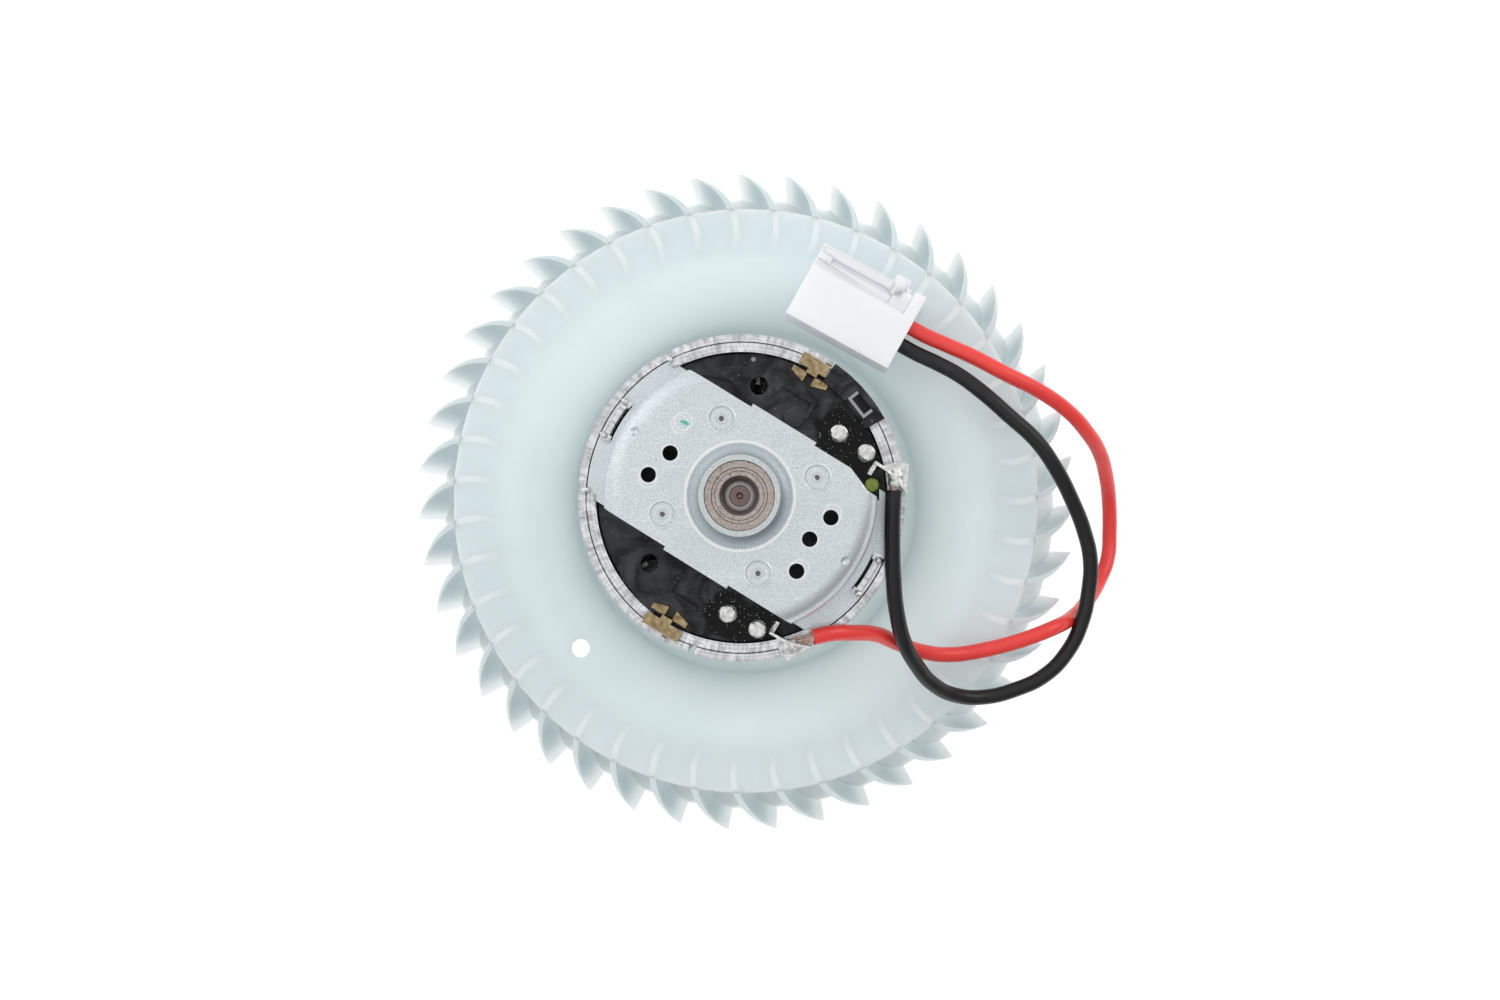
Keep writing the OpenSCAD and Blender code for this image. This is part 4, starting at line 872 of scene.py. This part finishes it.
def thinTips(shape):
    # each blade thins to a sharp edge at its tip, on both sides of its middle line
    pitch = math.tau / blade["count"]
    shape.verts.index_update()
    for group in islands(shape):
        tip = max(group, key=lambda vert: (round(vert.co.xy.length, 5), vert.index))
        step = round((math.atan2(tip.co.y, tip.co.x) - math.radians(blade["phase"])) / pitch)
        turn = Matrix.Rotation(math.radians(blade["phase"]) + pitch * step, 2)
        home = turn @ bladeCentre
        edge = turn @ Vector((blade["tipRadius"] - blade["edgeInset"], 0.0))
        for vert in group:
            spot = vert.co.xy / mm
            reach = (spot.length - blade["thinFrom"]) / (blade["tipRadius"] - blade["thinFrom"])
            if reach > blade["sharpFrom"]:
                vert.co.xy = edge * mm
            elif reach > 0:
                arm = spot - home
                off = (arm.length - blade["arcRadius"]) * (1 - reach ** 2)
                vert.co.xy = (home + arm.normalized() * (blade["arcRadius"] + off)) * mm
    bmesh.ops.remove_doubles(shape, verts=shape.verts, dist=joining["tips"])
    bmesh.ops.dissolve_degenerate(shape, dist=joining["points"], edges=shape.edges)


hiddenHole = {"radius": 47.4, "turn": 42.0, "reach": 2.6}  # the photograph shows plain wall here beside the leads


def closeHole(shape):
    # draws each rim of the hole together into one point of the wall
    lie = math.radians(hiddenHole["turn"])
    axis = Vector((math.cos(lie), math.sin(lie))) * hiddenHole["radius"] * mm
    close = [vert for vert in shape.verts if (vert.co.xy - axis).length < hiddenHole["reach"] * mm]
    middle = sum(vert.co.z for vert in close) / max(len(close), 1)
    for rim in ([v for v in close if v.co.z > middle], [v for v in close if v.co.z <= middle]):
        if rim:
            centre = sum((v.co for v in rim), Vector()) / len(rim)
            bmesh.ops.pointmerge(shape, verts=rim, merge_co=centre)
    loose = [edge for edge in shape.edges if not edge.link_faces]
    bmesh.ops.delete(shape, geom=loose, context="EDGES")


latch = {  # millimetres, in the plug's own frame: lowest and highest corner of each block, and its rounding
    "bodySide": 5.0, "bodyTopSide": 3.1, "bodyTopFrom": 5.9, "within": 0.05,
    "blocks": (
        ((-23.9, 3.6, -3.2), (-2.4, 7.0, 3.9), 0.5),  # web under the latch arm
        ((-23.9, 3.3, -3.2), (-3.2, 5.4, 4.6), 0.5),  # step beside the body
        ((-23.9, 6.3, -3.0), (-4.0, 8.3, 4.7), 0.7),  # arm
        ((-7.4, 5.4, -2.9), (-4.5, 9.9, 5.3), 1.1),  # thumb tab
        ((-6.6, 3.0, -2.9), (-2.2, 7.6, 5.2), 0.8),  # root of the tab
    ),
}


def easePlug(shape):
    # the body's upper edge leans away from the latch
    lie = Matrix.Rotation(math.radians(leads["plugTurn"]), 4, "Z")
    home = Matrix.Translation(Vector(leads["plugPlace"]) * mm) @ lie
    back = home.inverted()
    for vert in shape.verts:
        spot = back @ vert.co / mm
        if abs(spot.y - latch["bodySide"]) < latch["within"] and spot.z > latch["bodyTopFrom"]:
            spot.y = latch["bodyTopSide"]
            vert.co = home @ (spot * mm)


def settle(shape, name, node, finish=None, width=0.0, limit=32.0, rides=True):
    # turns a bmesh into a piece that goes with a node, with its edges eased where a width is given
    mesh = bpy.data.meshes.new(name)
    shape.to_mesh(mesh)
    shape.free()
    mesh.polygons.foreach_set("use_smooth", [True] * len(mesh.polygons))
    mesh.materials.append(finish or finishes[slotOf[node]])
    piece = addObject(name, mesh)
    if width:
        bevel = piece.modifiers.new("easedEdges", "BEVEL")
        bevel.width = width * mm
        bevel.segments = 2
        bevel.limit_method = "ANGLE"
        bevel.angle_limit = math.radians(limit)
        flat = piece.modifiers.new("flatFaces", "WEIGHTED_NORMAL")
        flat.weight = 60
    else:
        mesh.set_sharp_from_angle(angle=math.radians(limit))
    if rides:
        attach(piece, bodyOf[node])
    return piece


ownFinish = {
    "impeller_blades": resinFinish(
        "bladeResin", resin["bladeRootPaintedLight"], resin["bladeTipPaintedShade"], (58.0, 67.0), top=resin["rim"],
    ),
    "motor_can": rolledEdgeFinish("canSteel"),
    "flux_ring": rolledEdgeFinish("ringSteel", darken=0.1),
    # the inlet ring's lighter tone is painted light
    "impeller_inlet_ring": resinFinish("ringResin", resin["ring"], resin["ring"], (65.0, 70.0)),
}


def placed(shape, scale=1.0, turn=0.0, place=(0.0, 0.0, 0.0), verts=None):
    # scales, turns about z by degrees and then moves the points, or all of them
    verts = verts or shape.verts
    bmesh.ops.scale(shape, vec=scale if isinstance(scale, tuple) else (scale,) * 3, verts=verts)
    bmesh.ops.rotate(shape, cent=(0, 0, 0), matrix=Matrix.Rotation(math.radians(turn), 3, "Z"), verts=verts)
    bmesh.ops.translate(shape, vec=place, verts=verts)


def roundedBlock(shape, low, high, rounding):
    made = bmesh.ops.create_cube(shape, size=1.0)["verts"]
    sides = [h - l for l, h in zip(low, high)]
    bmesh.ops.scale(shape, vec=sides, verts=made)
    bmesh.ops.translate(shape, vec=[(h + l) / 2 for l, h in zip(low, high)], verts=made)
    rims = list(dict.fromkeys(edge for vert in made for edge in vert.link_edges))
    bmesh.ops.bevel(
        shape, geom=rims, offset=rounding, offset_type="OFFSET", segments=3, profile=0.5,
        affect="EDGES", clamp_overlap=True, material=-1,
    )


shaped = {"impeller_blades": thinTips, "impeller_hub_plate": closeHole, "connector_housing": easePlug}
for node, width in edges.items():
    shape = mergedCopy(node)
    if node in shaped:
        shaped[node](shape)
    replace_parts(settle(shape, node + "_eased", node, ownFinish.get(node), width), node)
shape = bmesh.new()
for low, high, rounding in latch["blocks"]:
    roundedBlock(shape, low, high, rounding)
placed(shape, scale=mm, turn=leads["plugTurn"], place=Vector(leads["plugPlace"]) * mm)
settle(shape, "plugLatch", "connector_housing", limit=50.0)

# springs and pigtails, copied and merged where they stand: the brush, then the end on the motor and on the brush, in
# millimetres
yielding = {
    "brush_spring_positive": ("brush_positive", (-14.71, -23.82, 52.3), (-11.09, -17.95, 52.3)),
    "brush_spring_negative": ("brush_negative", (14.71, 23.82, 52.3), (11.09, 17.95, 52.3)),
    "brush_lead_positive": ("brush_positive", (-3.98, -23.07, 54.2), (-6.65, -16.67, 52.3)),
    "brush_lead_negative": ("brush_negative", (18.85, 13.89, 54.2), (11.93, 13.41, 52.3)),
}
for node, (brush, onMotor, onBrush) in yielding.items():
    piece = settle(mergedCopy(node), node + "_sprung", node, rides=False)
    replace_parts(piece, node)
    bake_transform(piece)

for node, carried in cadNodes.items():
    carried.data.materials.clear()
    carried.data.materials.append(finishes[slotOf[node]])
for node, (lead, start) in laidLeads.items():
    lead.data.materials.append(finishes[slotOf[node]])
print("nodes dressed")

# Small pieces: solder, bare strands, staked knobs and brush springs

solder = {  # place in millimetres, size across, along and up, turn in degrees
    "terminal_positive": ((10.0, -29.6, 62.1), (2.5, 1.5, 0.75), 12.0, 3.0),
    "terminal_negative": ((30.7, 3.5, 62.6), (1.5, 2.7, 1.1), -6.0, 8.0),
    "lump": 0.35, "lumpSize": 1.1,
}
strands = {
    "red": {"from": (14.9, -27.6, 63.6), "to": (10.6, -29.0, 62.6), "spread": 1.1, "count": 11, "thick": 0.13},
    "black": {"from": (30.2, 0.7, 63.6), "to": (30.5, 3.0, 63.0), "spread": 0.8, "count": 7, "thick": 0.13},
    "fan": (0.62, 0.75, 1.15),  # how wide the strands lie at the lead, between and on the lug
    "rise": 0.45, "under": -0.4, "riseLeft": (0.8, 0.25),  # arch of every second strand, of the others, at the ends
    "sway": 0.3, "lift": 0.25,
}
knobs = {  # staked corners of the end plate's tongues: radius, turn, size along the radius, round and up
    "spots": (
        (30.2, 140.6), (30.2, 155.6), (30.2, -39.4), (30.2, -24.4), (31.1, 117.3), (31.1, 177.3), (31.1, -62.0),
    ),
    "size": (0.85, 0.62, 0.55), "height": 61.05,
    "lumps": (0.22, 0.7, 5.0),  # how high and how wide, and where the noise starts
}
springs = {  # the end coils of each brush's spring, seen behind its holder's strap
    "spots": ((0.9, 32.0, 58.6), (1.5, -32.0, 58.6)), "coilRadius": 1.15, "thick": 0.22, "turns": 3.2, "pitch": 0.55,
    "steps": 8,  # points to a turn
}


def roughened(shape, amount, size, seed):
    # pushes each point along its normal by smooth noise, in millimetres
    shape.normal_update()
    start = Vector((seed, 0.0, 0.0))
    moves = [(vert, vert.normal * amount * noise.noise(vert.co / size + start)) for vert in shape.verts]
    for vert, move in moves:
        vert.co += move


for node in ("terminal_positive", "terminal_negative"):
    place, size, turn, seed = solder[node]
    shape = bmesh.new()
    bmesh.ops.create_icosphere(shape, subdivisions=4, radius=1.0)
    bmesh.ops.scale(shape, vec=size, verts=shape.verts)
    roughened(shape, solder["lump"], solder["lumpSize"], seed)
    placed(shape, turn=turn, place=place)
    placed(shape, scale=mm)
    settle(shape, "solder_" + node, node, limit=80.0)


def thinWires(name, lines, thick, node, finish):
    tube = makeTube(name, lines, thick, 4, 3)
    tube.data.materials.append(finish)
    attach(tube, bodyOf[node])


tinnedStrands = metalFinish(
    "tinnedStrands", (0.80, 0.66, 0.61), (0.5, 0.34, 0.29), (0.25, 0.45), scale=1500.0,
)
for label, node in (("red", "terminal_positive"), ("black", "terminal_negative")):
    look = strands[label]
    start, end = Vector(look["from"]), Vector(look["to"])
    along = (end - start).normalized()
    across = along.cross(Vector((0, 0, 1))).normalized()
    lines = []
    for k in range(look["count"]):
        share = (k + 0.5) / look["count"] * 2 - 1
        wander = noise.noise(Vector((k * 1.7, 3.0, 0.5)))
        rise = strands["rise"] * (1 - share * share) * (1 if k % 2 else strands["under"])
        fan = look["spread"] * (share + strands["sway"] * wander)
        fans = [across * wide * fan for wide in strands["fan"]]
        ups = [Vector((0, 0, left * rise)) for left in strands["riseLeft"]]
        middle = start.lerp(end, 0.5) + fans[1] + Vector((0, 0, rise + strands["lift"] * wander))
        lines.append([start + fans[0] + ups[0], middle, end + fans[2] + along * wander + ups[1]])
    thinWires(label + "Strands", lines, look["thick"], node, tinnedStrands)

shape = bmesh.new()
for radius, turn in knobs["spots"]:
    made = bmesh.ops.create_icosphere(shape, subdivisions=3, radius=1.0)["verts"]
    placed(shape, scale=knobs["size"], place=(radius, 0.0, knobs["height"]), verts=made)
    placed(shape, turn=turn, verts=made)
roughened(shape, *knobs["lumps"])
placed(shape, scale=mm)
settle(shape, "stakedKnobs", "rear_end_plate", finishes["tinned_brass"], limit=80.0)

lines = []
for u, v, z in springs["spots"]:
    side = 1 if v > 0 else -1
    coil = []
    for k in range(int(springs["turns"] * springs["steps"]) + 1):
        turned = k / springs["steps"]
        angle = math.tau * turned
        out = v - side * springs["pitch"] * turned
        coil.append(bridged(
            u + springs["coilRadius"] * math.cos(angle), out, z + springs["coilRadius"] * math.sin(angle),
        ) / mm)
    lines.append(coil)
thinWires("brushSprings", lines, springs["thick"], "brush_holder_positive", finishes["brass"])
print("small pieces made")
